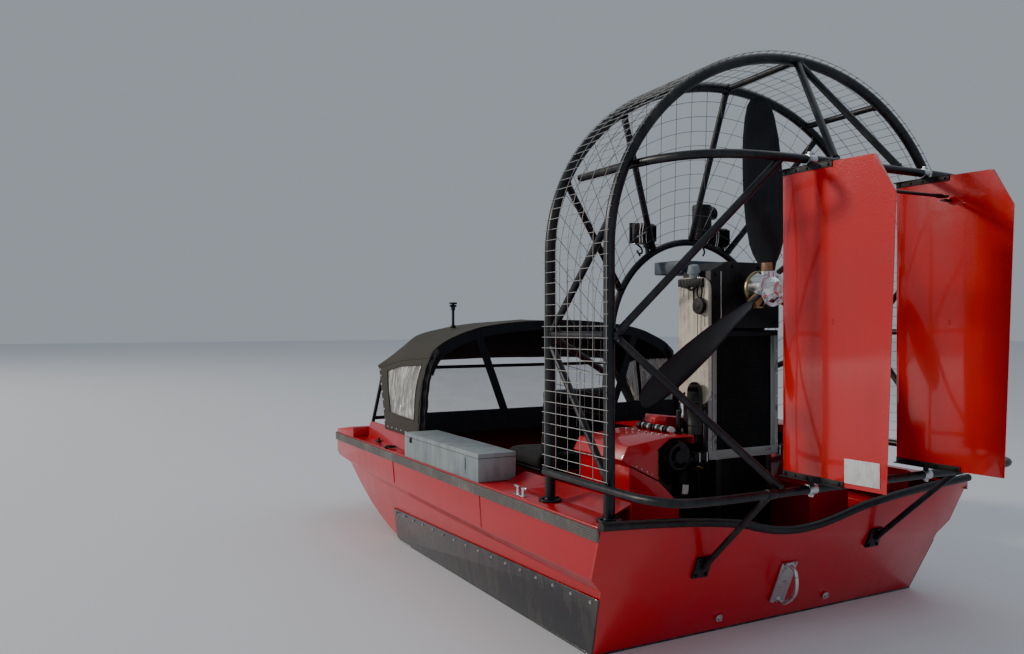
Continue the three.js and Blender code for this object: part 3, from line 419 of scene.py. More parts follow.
for row in WEATHERED:
    weathered(*row)
print(len(WEATHERED), "weathered finishes")

# %% [markdown]
# Metals get their look from their own reflections, so they are fully metallic, with the brushing group for
# scratches. The clear sheet of the windows is slightly milky and crumpled, and the windscreen is plain.

# %% Metal, glass and cloth finishes
STAIN = {"darker": 0.45, "size": 14.0, "share": 0.42}
CLEAR_ROUGHNESS = 0.08
CLEAR_IOR = 1.45
FOLD_STRETCH = (1.0, 9.0, 2.2)
FOLD_LEVEL = 0.42
FOLD_EDGE = 4.0
CLEAR_SHADE = 0.4
THREAD_RELIEF = 0.0007


def shaded(colour, factor):
    """The same colour, darker."""
    return [factor * channel for channel in colour]


def brushed(name, slot, colour, along, gloss, relief=0.0003):
    """Bare metal with scratches; along gives how fast the pattern runs in each direction."""
    tree, shader = new_material(name, slot)
    lines = use_group(tree, brushing, {"Along": along, "Gloss": gloss})
    stains = use_group(tree, chips, {"Paint": colour, "Under": shaded(colour, STAIN["darker"]),
                                     "Size": STAIN["size"], "Share": STAIN["share"]})
    fill(tree, shader, {"Base Color": stains["Color"], "Roughness": lines["Roughness"], "Metallic": 1.0,
                        "Normal": relief_normal(tree, lines["Height"], relief)})


def clear_finish(name, tint, alpha, relief, cloud):
    """A clear sheet, darker in its creases as painted shade; cloud is how much less clear its folds are."""
    tree, shader = new_material(name, "clear_sheet")
    add, less, times = sums(tree)
    folds = speckle(tree, stretched(tree, own_place(tree), FOLD_STRETCH), 2.6, 4.0, Distortion=1.2)
    lift = times(less(folds, FOLD_LEVEL), FOLD_EDGE, clamp=True)
    # Painted shade: the tint is darker where the fold pattern is low, for dark streaks in the creases.
    fill(tree, shader, {
        "Base Color": blend(tree, lift, shaded(tint, CLEAR_SHADE), tint),
        "Roughness": CLEAR_ROUGHNESS, "IOR": CLEAR_IOR, "Alpha": add(alpha, times(lift, cloud), clamp=True),
        "Normal": relief_normal(tree, folds, relief),
    })


def cloth(name, slot, colour, faded_and_lit, threads):
    """Coated canvas: threads follow the piece's own UV map; patches show fading and painted shade of folds.
    """
    tree, shader = new_material(name, slot)
    place = put(tree, "ShaderNodeUVMap", {}, uv_map="cloth").outputs["UV"]
    woven = use_group(tree, weave, {"Place": place, "Threads": threads})
    # Painted shade: the patches run from the colour to a paler one, for fading and for the shade of folds.
    fill(tree, shader, {
        "Base Color": blend(tree, woven["Shade"], colour, faded_and_lit), "Roughness": 0.82,
        "Sheen Weight": 0.06, "Sheen Roughness": 0.5,
        "Normal": relief_normal(tree, woven["Height"], THREAD_RELIEF),
    })


METALS = [
    # name, slot, colour, pattern's pace in x, y and z, gloss
    ("aluminium", "bare_metal", (0.62, 0.63, 0.64), (6.0, 1.0, 1.0), 0.28),
    ("polished", "bare_metal", (0.82, 0.82, 0.83), (3.0, 1.0, 3.0), 0.06, 0.0001),
    ("worn_aluminium", "bare_metal", (0.33, 0.33, 0.32), (6.0, 1.0, 1.0), 0.42),
    ("galvanised", "wire", (0.44, 0.44, 0.42), (4.0, 4.0, 4.0), 0.38),
    # Painted shade: a darker copy of the galvanised wire, for the front bays on the guard's shaded side.
    ("dull_wire", "wire", (0.20, 0.20, 0.20), (4.0, 4.0, 4.0), 0.45),
    ("olive_brass", "bare_metal", (0.45, 0.38, 0.18), (4.0, 1.0, 4.0), 0.22),
]
CLEAR_SHEETS = [
    # name, tint, alpha, relief, cloud
    ("window_sheet", (0.80, 0.79, 0.73), 0.6, 0.014, 0.5),
    ("screen_glass", (0.62, 0.72, 0.72), 0.16, 0.0005, 0.05),
    ("lamp_glass", (0.75, 0.8, 0.85), 0.45, 0.001, 0.1),
]
CLOTHS = [
    # name, slot, colour, the paler colour of fading and painted light, threads
    ("canvas_olive", "canvas", (0.040, 0.036, 0.026), (0.066, 0.059, 0.045), 230.0),
    ("canvas_black", "black_canvas", (0.010, 0.010, 0.012), (0.026, 0.026, 0.03), 230.0),
    ("seat_vinyl", "seat_cover", (0.010, 0.010, 0.011), (0.02, 0.02, 0.022), 120.0),
]
for make, rows in ((brushed, METALS), (clear_finish, CLEAR_SHEETS), (cloth, CLOTHS)):
    for row in rows:
        make(*row)
print(len(finishes), "finishes")

# %% [markdown]
# Every new piece starts as a bmesh, built from cubes, cones, curves and their sweeps. One function turns
# it into an object: it recalculates the normals, keeps hard edges hard and the rest smooth, gives the
# material, and lets the piece ride on its body.

# %% From a bmesh to a piece of the boat


def finished(name, bm, material, body="root", replaces=(), sharp=35, recalc=True):
    """Makes an object of a bmesh. material names a finish, or a list of them that the faces choose from."""
    names = material if isinstance(material, list) else [material]
    materials = [finishes[entry] for entry in names]
    bmesh.ops.remove_doubles(bm, verts=bm.verts, dist=1e-6)
    if recalc:
        bmesh.ops.recalc_face_normals(bm, faces=bm.faces)
    mesh = bpy.data.meshes.new(name)
    bm.to_mesh(mesh)
    bm.free()
    for polygon in mesh.polygons:
        polygon.use_smooth = True
    mesh.set_sharp_from_angle(angle=math.radians(sharp))
    for entry in materials:
        mesh.materials.append(entry)
    piece = bpy.data.objects.new(name, mesh)
    scene.collection.objects.link(piece)
    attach(piece, body)
    if replaces:
        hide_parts(*replaces)
    return piece


def finished_tube(node, bm):
    """Makes black tubes stand for a CAD node."""
    return finished(f"{node}_tube", bm, "tube_black", replaces=[node])


def rounded_edges(bm, edges, width):
    """Rounds some edges, in the same order on every run, and gives the new vertices."""
    return bmesh.ops.bevel(bm, geom=list(dict.fromkeys(edges)), offset=width, segments=2, profile=0.5,
                           affect="EDGES", clamp_overlap=True, material=-1)["verts"]


def add_box(bm, low, high, bevel=0.0, turn=None):
    """A block between two corners, its edges rounded by bevel and turned about its own middle."""
    made = bmesh.ops.create_cube(bm, size=1.0)["verts"]
    bmesh.ops.scale(bm, vec=high - low, verts=made)
    if bevel:
        made = rounded_edges(bm, [edge for vert in made for edge in vert.link_edges], bevel)
    if turn:
        bmesh.ops.rotate(bm, cent=(0, 0, 0), matrix=turn, verts=made)
    bmesh.ops.translate(bm, vec=(low + high) / 2, verts=made)
    return made


def add_block(bm, middle, half, bevel, turn=None):
    """A block about its middle, from half its width, length and height."""
    half = Vector(half)
    return add_box(bm, middle - half, middle + half, bevel, turn)


def add_rod(bm, start, end, radius, sides=20, end_radius=None, bevel=0.0):
    """A round bar or cone between two points, its rims rounded by bevel."""
    along = end - start
    place = Matrix.Translation((start + end) / 2) @ along.to_track_quat("Z", "Y").to_matrix().to_4x4()
    made = bmesh.ops.create_cone(
        bm, cap_ends=True, segments=sides, radius1=radius, depth=along.length, matrix=place,
        radius2=radius if end_radius is None else end_radius,
    )["verts"]
    if bevel:
        caps = [face for vert in made for face in vert.link_faces if len(face.verts) == sides]
        rounded_edges(bm, [edge for face in caps for edge in face.edges], bevel)
    return made


def add_rod_across(bm, middle, half, radius, sides=18, bevel=0.0):
    """A round bar that lies across the boat."""
    add_rod(bm, middle + PORT_OUT * half, middle - PORT_OUT * half, radius, sides=sides, bevel=bevel)


def cut(bm, point, normal, **more):
    """Cuts a bmesh by a plane."""
    geom = [*bm.verts, *bm.edges, *bm.faces]
    bmesh.ops.bisect_plane(bm, geom=geom, plane_co=point, plane_no=normal, **more)


def add_turned(bm, foot, along, rows, sides):
    """A turned shape: each row is how far along the axis from the foot, and the radius there."""
    for (step, radius), (next_step, next_radius) in zip(rows, rows[1:]):
        add_rod(bm, foot + along * step, foot + along * next_step, radius, sides=sides,
                end_radius=next_radius)


def add_bolt(bm, point, out, size=0.006):
    """A hexagonal bolt head on its washer."""
    out = out.normalized()
    add_rod(bm, point, point + out * size * 0.3, size * 1.25, sides=14)
    add_rod(bm, point + out * size * 0.3, point + out * size * 1.1, size, sides=6, bevel=size * 0.12)


def add_rivet(bm, point, out, size=0.004):
    """A flat domed rivet head."""
    add_rod(bm, point, point + out.normalized() * size * 0.5, size, sides=10, end_radius=size * 0.55)


def add_pipes(bm, lines, radius, sides=8, closed=False):
    """Round tubes along lines of points, swept by a curve's own bevel."""
    curve = bpy.data.curves.new("sweep", "CURVE")
    curve.dimensions = "3D"
    curve.bevel_depth = radius
    curve.bevel_resolution = (sides - 4) // 2
    curve.use_fill_caps = not closed
    for line in lines:
        spline = curve.splines.new("POLY")
        spline.use_cyclic_u = closed
        spline.points.add(len(line) - 1)
        for point, place in zip(spline.points, line):
            point.co = (*place, 1.0)
    holder = bpy.data.objects.new("sweep", curve)
    swept = bpy.data.meshes.new_from_object(holder)
    bm.from_mesh(swept)
    bpy.data.objects.remove(holder)
    bpy.data.curves.remove(curve)
    bpy.data.meshes.remove(swept)


def circle(centre, axis, radius, steps=20):
    """Points on a circle round an axis."""
    turn = axis.to_track_quat("Z", "Y")
    angles = [2 * math.pi * i / steps for i in range(steps)]
    return [centre + turn @ Vector((math.cos(a) * radius, math.sin(a) * radius, 0)) for a in angles]


def add_bead(bm, centre, axis, radius, bead=0.004):
    """A weld bead where a tube meets something."""
    add_pipes(bm, [circle(centre, axis, radius)], bead, sides=6, closed=True)


def on_curve(before, a, b, after, t):
    """A point a share t of the way from a to b, on a smooth curve by the Catmull-Rom rule."""
    return 0.5 * ((2 * a) + (b - before) * t + (2 * before - 5 * a + 4 * b - after) * t * t
                  + (3 * a - before - 3 * b + after) * t ** 3)


def through(points, steps=6):
    """A smooth line through points."""
    ends = [2 * points[0] - points[1], *points, 2 * points[-1] - points[-2]]
    fours = zip(ends, ends[1:], ends[2:], ends[3:])
    return [on_curve(*four, i / steps) for four in fours for i in range(steps)] + [points[-1]]


def add_hose(bm, places, radius, sides=8):
    """A hose or wire, smooth through places on the boat."""
    add_pipes(bm, [through([at(*place) for place in places])], radius, sides=sides)


def add_sheet(bm, rows):
    """A sheet between rows of points."""
    rows = [[bm.verts.new(point) for point in row] for row in rows]
    for low, high in zip(rows, rows[1:]):
        for k in range(len(low) - 1):
            bm.faces.new((low[k], low[k + 1], high[k + 1], high[k]))


def evenly(line, spacing=None, count=None):
    """Points at equal distances along a line of points."""
    lengths = [0.0]
    for a, b in zip(line, line[1:]):
        lengths.append(lengths[-1] + (b - a).length)
    count = count or max(1, round(lengths[-1] / spacing))
    found = []
    step = 0
    for i in range(count + 1):
        goal = lengths[-1] * i / count
        while step < len(line) - 2 and lengths[step + 1] < goal:
            step += 1
        span = lengths[step + 1] - lengths[step]
        found.append(line[step].lerp(line[step + 1], (goal - lengths[step]) / span if span else 0.0))
    return found


print("helpers ready")

# %% [markdown]
# Many of the carried-over solids already have the right shape, but a folded or welded plate never has a
# razor edge: it catches a thin line of light. A merged copy of each gets its flat faces joined and its
# edges rounded by a millimetre or two, and stands for the solid.

# %% Rounded copies of the plates
FOLD_ANGLE = math.radians(30)
FLAT_ANGLE = math.radians(0.8)


def rounded(node, material, width):
    """A merged copy of a CAD node with its hard edges rounded."""
    bm = bmesh.new()
    bm.from_mesh(nodes[node].data)
    bmesh.ops.remove_doubles(bm, verts=bm.verts, dist=3e-5)
    bmesh.ops.dissolve_limit(bm, angle_limit=FLAT_ANGLE, verts=bm.verts, edges=bm.edges)
    edges = [e for e in bm.edges if e.is_manifold and e.calc_face_angle() > FOLD_ANGLE]
    rounded_edges(bm, edges, width)
    return finished(f"{node}_plate", bm, material, nodes[node]["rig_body"], [node], recalc=False)


PLATES = {
    # finish and edge radius: nodes
    ("red_paint", 0.002): ("hull_bottom",),
    ("red_paint", 0.003): ("bow_rake", "hull_side_port", "hull_side_starboard", "transom",
                           "side_deck_port", "side_deck_starboard"),
    ("red_paint", 0.004): ("foredeck",),
    ("red_paint", 0.005): ("fuel_tank_port", "fuel_tank_starboard"),
    ("red_paint", 0.006): ("engine_cover",),
    ("polymer", 0.002): ("bottom_skin", "side_skin_port", "side_skin_starboard"),
    ("aluminium", 0.003): ("floor",),
    ("locker_paint", 0.004): ("deck_locker",),
    ("tube_black", 0.002): ("engine_stand",),
    ("part_black", 0.006): ("engine",),
    ("steel_grey", 0.006): ("air_box",),
    ("part_black", 0.004): ("drive_case",),
    ("cream_paint", 0.002): ("drive_side_panel",),
    ("worn_aluminium", 0.003): ("radiator_frame",),
    ("screen_glass", 0.001): ("windshield_pane",),
}
plates = {node: rounded(node, *look) for look, rows in PLATES.items() for node in rows}
print(len(plates), "plates rounded")


# %% [markdown]
# The cage is bent from steel tube and welded. Two tall hoops stand on the side decks, each with straight
# legs and a round head, and a smaller arch stands ahead of them on the floor. Swept curves give true
# round tubes, and every joint gets a weld bead, every foot a bolted flange.

# %% Hoops and arch
HOOP_TUBE = 0.025
BRACE_TUBE = 0.019
RAIL_TUBE = 0.017
STRUT_TUBE = 0.014
DECK_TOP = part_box("foredeck")[1].z - 0.07
HOOP_HALF = 1.099
HOOP_SPRING = 1.81
REAR_HOOP = {"half": HOOP_HALF, "spring": HOOP_SPRING, "rise": 0.949, "foot": DECK_TOP, "y": -0.184}
FRONT_HOOP = {"half": HOOP_HALF, "spring": HOOP_SPRING, "rise": 0.925, "foot": DECK_TOP, "y": 0.303}
INNER_ARCH = {"half": 0.54, "spring": 1.41, "rise": 0.53, "foot": 0.1223, "y": 0.6}


def arch_line(half, spring, rise, foot, y, outward=0.0, steps=60):
    """Up a straight leg, over half an ellipse and down the other leg, from port to starboard."""
    line = [at(-half - outward, y, foot)]
    for i in range(steps + 1):
        angle = math.pi * (1 - i / steps)
        line.append(at((half + outward) * math.cos(angle), y, spring + (rise + outward) * math.sin(angle)))
    return [*line, at(half + outward, y, foot)]


def on_arch(arch, z, side):
    """The point of an arch at a height, on one side."""
    over = max(0.0, min(1.0, (z - arch["spring"]) / arch["rise"]))
    return at(side * arch["half"] * math.sqrt(1 - over * over), arch["y"], z)


def arch_top(arch):
    """The highest point of an arch's middle line."""
    return at(0, arch["y"], arch["spring"] + arch["rise"])


FOOT = {"radius": 0.055, "thick": 0.012, "bolts": 4, "bolt_circle": 0.041}
SEATED = 0.0003


def add_foot(bm, centre):
    """A round flange with its bolts and a bead round the leg."""
    face = centre + UP * FOOT["thick"]
    add_rod(bm, centre, face, FOOT["radius"], sides=28, bevel=0.002)
    add_bead(bm, face + UP * 0.001, UP, HOOP_TUBE)
    for point in circle(face, UP, FOOT["bolt_circle"], FOOT["bolts"]):
        add_bolt(bm, point, UP, 0.006)


def add_joint(bm, point, toward, radius):
    """A bead where a thinner tube meets a hoop, just outside the hoop's skin."""
    out = (toward - point).normalized()
    add_bead(bm, point + out * (HOOP_TUBE + 0.002), out, radius)


def add_bars(bm, pairs):
    """Straight tubes between pairs of points, each with a bead at both ends."""
    add_pipes(bm, pairs, RAIL_TUBE, sides=16)
    for start, end in pairs:
        add_joint(bm, start, end, RAIL_TUBE)
        add_joint(bm, end, start, RAIL_TUBE)


bm = bmesh.new()
add_pipes(bm, [arch_line(**REAR_HOOP)], HOOP_TUBE, sides=20)
for side in BOTH:
    add_foot(bm, at(side * HOOP_HALF, REAR_HOOP["y"], DECK_TOP + SEATED))
finished_tube("rear_hoop", bm)

HOOP_BARS = [
    # height on the rear hoop, height on the front hoop
    (2.610, 2.595),
    (1.435, 1.435),
    (1.950, 1.430),
    (0.800, 1.400),
]
bm = bmesh.new()
add_pipes(bm, [arch_line(**FRONT_HOOP)], HOOP_TUBE, sides=20)
bars = [(arch_top(REAR_HOOP), arch_top(FRONT_HOOP))]
for side in BOTH:
    add_foot(bm, at(side * HOOP_HALF, FRONT_HOOP["y"], DECK_TOP + SEATED))
    bars += [(on_arch(REAR_HOOP, rear, side), on_arch(FRONT_HOOP, front, side))
             for rear, front in HOOP_BARS]
add_bars(bm, bars)
finished_tube("front_hoop", bm)

SPOKES = [
    # height on the front hoop, distance off the middle and height on the inner arch
    (2.540, 0.260, 1.880),
    (2.170, 0.480, 1.665),
    (1.435, 0.540, 1.200),
]
spokes = [(on_arch(FRONT_HOOP, high, side), at(side * x, INNER_ARCH["y"], z))
          for high, x, z in SPOKES for side in (-1, 1)]
spokes.append((arch_top(FRONT_HOOP), arch_top(INNER_ARCH)))
bm = bmesh.new()
add_pipes(bm, [arch_line(**INNER_ARCH)], BRACE_TUBE, sides=18)
add_bars(bm, spokes)
finished_tube("inner_arch", bm)
print("hoops", round(arch_top(REAR_HOOP).z + HOOP_TUBE, 3), "m high")

# %% [markdown]
# Two bars bow out behind the rear hoop, one high and one low, and carry the rudder hinges. Straight
# braces tie them to the hoops, and two short struts tie the lower one to the transom.

# %% Rudder bars, braces and struts
UPPER_BAR = {"z": 2.180, "aft": -0.612, "plan": [
    (0.962, 0.25), (0.96, -0.184), (0.93, -0.35), (0.86, -0.48), (0.74, -0.56), (0.56, -0.598),
    (0.3, -0.612), (0, -0.612),
]}
LOWER_BAR = {"z": 0.790, "aft": -0.617, "plan": [
    (1.136, 0.29), (1.136, -0.3), (1.12, -0.47), (1.05, -0.58), (0.9, -0.612), (0.6, -0.617),
    (0.3, -0.617), (0, -0.617),
]}


def bar_line(bar):
    """A bow's line in plan, from the port front end round to the starboard one."""
    port = [at(-x, y, bar["z"]) for x, y in bar["plan"]]
    return through([*port, *mirror_line(port[-2::-1])], steps=8)


UPPER_END = 0.21
LUG = {"outward": 0.012, "half": (0.022, 0.018, 0.02)}
bm = bmesh.new()
add_pipes(bm, [bar_line(UPPER_BAR)], BRACE_TUBE, sides=18)
add_bars(bm, [(arch_top(REAR_HOOP), at(side * UPPER_END, UPPER_BAR["aft"], UPPER_BAR["z"]))
              for side in BOTH])
finished_tube("rudder_bar_upper", bm)

bm = bmesh.new()
add_pipes(bm, [bar_line(LOWER_BAR)], BRACE_TUBE, sides=18)
for side in BOTH:
    for arch in (REAR_HOOP, FRONT_HOOP):
        lug = at(side * (HOOP_HALF + LUG["outward"]), arch["y"], LOWER_BAR["z"])
        add_block(bm, lug, LUG["half"], 0.003)
finished_tube("rudder_bar_lower", bm)

BRACE_ROOT = (HOOP_HALF - 0.014, REAR_HOOP["y"] - 0.02, 1.435)
BRACE_FEET = [(0.52, -0.602, UPPER_BAR["z"]), (0.52, -0.617, LOWER_BAR["z"])]
for name, side in SIDES.items():
    root, *feet = [at(side * x, y, z) for x, y, z in (BRACE_ROOT, *BRACE_FEET)]
    bm = bmesh.new()
    add_bars(bm, [(root, foot) for foot in feet])
    finished_tube(f"brace_side_{name}", bm)

TRANSOM_RAKE = 0.4218
TRANSOM_OUT = Vector((0, -1, -TRANSOM_RAKE)).normalized()


def on_transom(x, z, out=0.0):
    """A point on the transom's outer face, or a little behind it."""
    return at(x, -TRANSOM_RAKE * z, z) + TRANSOM_OUT * out


TRANSOM_LEAN = Matrix.Rotation(math.atan(TRANSOM_RAKE), 4, "X")


def add_transom_pad(bm, x, z, half, high, thick, bevel=0.002):
    """A plate that lies on the raked transom."""
    add_block(bm, on_transom(x, z, thick / 2 + SEATED), (half, thick / 2, high), bevel, TRANSOM_LEAN)


PAD = {"x": 0.575, "z": 0.380, "half": 0.045, "high": 0.055, "thick": 0.014}
PAD_BOLT = {"x": 0.03, "z": 0.036}
STRUT_HEAD = {"x": 0.6, "half": 0.024, "radius": 0.022}
for name, side in SIDES.items():
    pad_at = on_transom(side * PAD["x"], PAD["z"], PAD["thick"])
    head = at(side * STRUT_HEAD["x"], LOWER_BAR["aft"], LOWER_BAR["z"])
    bm = bmesh.new()
    add_transom_pad(bm, side * PAD["x"], PAD["z"], PAD["half"], PAD["high"], PAD["thick"])
    add_pipes(bm, [(pad_at, head)], STRUT_TUBE, sides=16)
    add_joint(bm, pad_at - (head - pad_at).normalized() * HOOP_TUBE, head, STRUT_TUBE)
    for dx in (-PAD_BOLT["x"], PAD_BOLT["x"]):
        for dz in (-PAD_BOLT["z"], PAD_BOLT["z"]):
            add_bolt(bm, on_transom(side * PAD["x"] + dx, PAD["z"] + dz, PAD["thick"]), TRANSOM_OUT, 0.007)
    add_rod_across(bm, head, STRUT_HEAD["half"], STRUT_HEAD["radius"], bevel=0.002)
    finished_tube(f"transom_strut_{name}", bm)
print("bars, braces and struts swept")

# %% [markdown]
# The guard is stock welded mesh, 51 by 102 mm, in galvanised wire. It wraps the outside of the two hoops,
# and in front of the propeller it fills each bay between two spokes. All wires of one kind are swept in a
# single curve, which keeps hundreds of them cheap.

# %% Guard mesh over the hoops
MESH_FINE = 0.051
MESH_WIDE = 0.102
WIRE = 0.0017
WRAP_FOOT = 0.815
OVERHANG = 0.06
LONG_WIRES = [-0.045, 0.165, 0.375, 0.585, 0.795, 1.005]
outward = HOOP_TUBE + 1.05 * WIRE
lift = WIRE * 1.5


def wrap_line(hoop, outward):
    """A hoop's line above the wrap's foot, moved outward."""
    return arch_line(**{**hoop, "foot": WRAP_FOOT}, outward=outward)


across = len(evenly(wrap_line(REAR_HOOP, outward), MESH_FINE)) - 1
ends = [evenly(wrap_line(hoop, outward), count=across) for hoop in (REAR_HOOP, FRONT_HOOP)]
cross_wires = [(a.lerp(b, -OVERHANG), a.lerp(b, 1 + OVERHANG)) for a, b in zip(*ends)]
over = [evenly(wrap_line(hoop, outward + lift), count=130) for hoop in (REAR_HOOP, FRONT_HOOP)]
long_wires = [[a.lerp(b, way) for a, b in zip(*over)] for way in LONG_WIRES]
bm = bmesh.new()
add_pipes(bm, cross_wires, WIRE, sides=6)
add_pipes(bm, long_wires, WIRE, sides=6)
finished("guard_wrap_mesh", bm, "galvanised", replaces=[
    "guard_wrap_low_port", "guard_wrap_low_starboard", "guard_wrap_top_port", "guard_wrap_top_starboard"])
print(len(cross_wires), "wires across and", len(long_wires), "along the wrap")

# %% [markdown]
# In the front guard each bay is its own flat sheet: one set of wires runs parallel down the middle of the
# bay until a spoke stops it, and the other set crosses from spoke to spoke.

# %% Guard mesh in the front bays
NET_FOOT = 0.975
NET_STEP = 0.080
NET_POINTS = 24
net_lift = AFT * (HOOP_TUBE * 0.7)
outer_line = evenly(arch_line(**{**FRONT_HOOP, "foot": NET_FOOT}), count=400)
inner_line = evenly(arch_line(**{**INNER_ARCH, "foot": NET_FOOT}), count=400)


def nearest(line, point):
    """The number of the point of a line that is nearest to another point."""
    return min(range(len(line)), key=lambda i: (line[i] - point).length)


def stretch(line, start, end):
    """The part of a line between two points, in even steps."""
    return evenly(line[nearest(line, start):nearest(line, end) + 1], count=NET_POINTS)


def along_line(line, place):
    """A point between the even steps of a line."""
    low = min(int(place), NET_POINTS - 1)
    return line[low].lerp(line[low + 1], place - low)


corner_points = [(outer_line[0], inner_line[0])]
corner_points += sorted(spokes, key=lambda pair: nearest(outer_line, pair[0]))
corner_points.append((outer_line[-1], inner_line[-1]))
net_wires = []
for (outer_a, inner_a), (outer_b, inner_b) in zip(corner_points, corner_points[1:]):
    outer = stretch(outer_line, outer_a, outer_b)
    inner = stretch(inner_line, inner_a, inner_b)
    slope = (outer[NET_POINTS // 2] - inner[NET_POINTS // 2]).length
    ladders = max(2, round(slope / NET_STEP))
    ways = [k / ladders for k in range(ladders + 1)]
    for way in ways[1:-1]:
        net_wires.append([a.lerp(b, way) + net_lift for a, b in zip(outer, inner)])
    widths = [(outer[-1].lerp(inner[-1], way) - outer[0].lerp(inner[0], way)).length for way in ways]
    wires_each_side = int(max(widths) / 2 / MESH_WIDE)
    for w in range(-wires_each_side, wires_each_side + 1):
        line = []
        for way, width in zip(ways, widths):
            place = 0.5 + w * MESH_WIDE / max(width, 0.01)
            if 0 <= place <= 1:
                a, b = (along_line(edge, place * NET_POINTS) for edge in (outer, inner))
                line.append(a.lerp(b, way) + net_lift + AFT * lift)
        if len(line) > 1:
            net_wires.append(line)
bm = bmesh.new()
add_pipes(bm, net_wires, WIRE * 0.82, sides=6)
# The front bays take the darker wire finish, as painted shade of the guard's shaded side.
finished("guard_front_mesh", bm, "dull_wire", replaces=["guard_front_port", "guard_front_starboard"])
print(len(net_wires), "wires in the front bays")

# %% [markdown]
# A rubber rail with lengthwise ribs runs along both gunwales and round the blunt bow. Its section stays
# the same all the way, so it is drawn once, extruded along the straight stretches and spun round the two
# corners.

# %% Carrying an outline, and the rub rail


def carried(bm, outline, moves):
    """Carries a closed outline along. A move is a shift, or (centre, angle about the vertical, steps)."""
    verts = [bm.verts.new(point) for point in outline]
    edges = [bm.edges.new(pair) for pair in zip(verts, verts[1:] + verts[:1])]
    ends = [edges]
    for move in moves:
        if isinstance(move, Vector):
            grown = bmesh.ops.extrude_edge_only(bm, edges=edges)["geom"]
        else:
            centre, angle, steps = move
            grown = bmesh.ops.spin(
                bm, geom=[*verts, *edges], cent=centre, axis=UP, angle=angle, steps=steps, dvec=(0, 0, 0),
                use_merge=False, use_normal_flip=False,
            )["geom_last"]
        verts = [item for item in grown if isinstance(item, bmesh.types.BMVert)]
        if isinstance(move, Vector):
            bmesh.ops.translate(bm, vec=move, verts=verts)
        newest = set(verts)
        edges = dict.fromkeys(edge for vert in verts for edge in vert.link_edges)
        edges = [edge for edge in edges if newest.issuperset(edge.verts)]
    ends.append(edges)
    for end in ends:
        bmesh.ops.contextual_create(bm, geom=end)


RAIL = {"half": 1.212, "low": 0.584, "high": 0.636, "front": 3.5, "corner": 0.194, "aft": -0.255,
        "thick": 0.0137}
RAIL_RIBS = 5
RAIL_GROOVE = 0.0035
rib = (RAIL["high"] - RAIL["low"]) / RAIL_RIBS
section = [(RAIL["thick"], RAIL["low"]), (RAIL["thick"], RAIL["high"])]
for i in reversed(range(RAIL_RIBS)):
    foot = RAIL["low"] + i * rib
    section += [(RAIL_GROOVE, foot + 0.95 * rib), (0.0, foot + 0.7 * rib), (0.0, foot + 0.3 * rib),
                (RAIL_GROOVE, foot + 0.05 * rib)]
straight = RAIL["front"] - RAIL["corner"] - RAIL["aft"]
corner_x = RAIL["half"] - RAIL["corner"]
corner_y = RAIL["front"] - RAIL["corner"]
bm = bmesh.new()
carried(bm, [at(inset - RAIL["half"], RAIL["aft"], z) for inset, z in section], [
    Vector((0, straight, 0)), (at(-corner_x, corner_y, 0), -math.pi / 2, 10),
    Vector((2 * corner_x, 0, 0)), (at(corner_x, corner_y, 0), -math.pi / 2, 10), Vector((0, -straight, 0)),
])
finished("rub_rail_ribbed", bm, "rail_rubber", replaces=["rub_rail"], sharp=50)

TRIM_TUBE = 0.020
SCOOP = [(0.0, 0.476), (0.14, 0.487), (0.27, 0.515), (0.4, 0.55), (0.63, 0.586), (0.87, 0.61), (1.1, 0.627),
         (1.198, 0.633)]
trim_port = [at(-x, 0.006 - TRANSOM_RAKE * (z + 0.018), z + 0.018) for x, z in SCOOP[::-1]]
bm = bmesh.new()
add_pipes(bm, [through([*trim_port, *mirror_line(trim_port[-2::-1])], steps=7)], TRIM_TUBE, sides=16)
finished("transom_trim_tube", bm, "trim_rubber", replaces=["transom_trim"])
print("rail and transom trim carried round")

# %% [markdown]
# Small fittings tell the scale of a hull: the bolts that hold the polymer sheet, the weld seam in each
# side, a horn cleat and a ring on each deck, and the drain plugs in the transom. The hull's half width at
# any height comes from the same creases as its plates.

# %% Hull fittings
HULL_LEVELS = [
    # half width, height at stations -0.6, 1.3, 2.55 and 3.2
    (1.062, (0.010, 0.010, 0.010, 0.010)),
    (1.112, (0.330, 0.342, 0.366, 0.404)),
    (1.180, (0.400, 0.408, 0.428, 0.456)),
    (1.198, (0.633, 0.633, 0.633, 0.633)),
]
STATIONS = (-0.6, 1.3, 2.55, 3.2)


def between(stations, values, y):
    """A value read off at a station."""
    for a, b, low, high in zip(stations, stations[1:], values, values[1:]):
        if y <= b:
            return low + (high - low) * (y - a) / (b - a)
    return values[-1]


def on_side(side, y, z, out=0.0):
    """A point on a hull side, and the direction out of it."""
    levels = [(half, between(STATIONS, heights, y)) for half, heights in HULL_LEVELS]
    for (half_a, z_a), (half_b, z_b) in zip(levels, levels[1:]):
        if z <= z_b:
            half = half_a + (half_b - half_a) * (z - z_a) / (z_b - z_a)
            normal = Vector((side * (z_b - z_a), 0, half_a - half_b)).normalized()
            return at(side * half, y, z) + normal * out, normal
    return at(side * levels[-1][0], y, z), Vector((side, 0, 0))


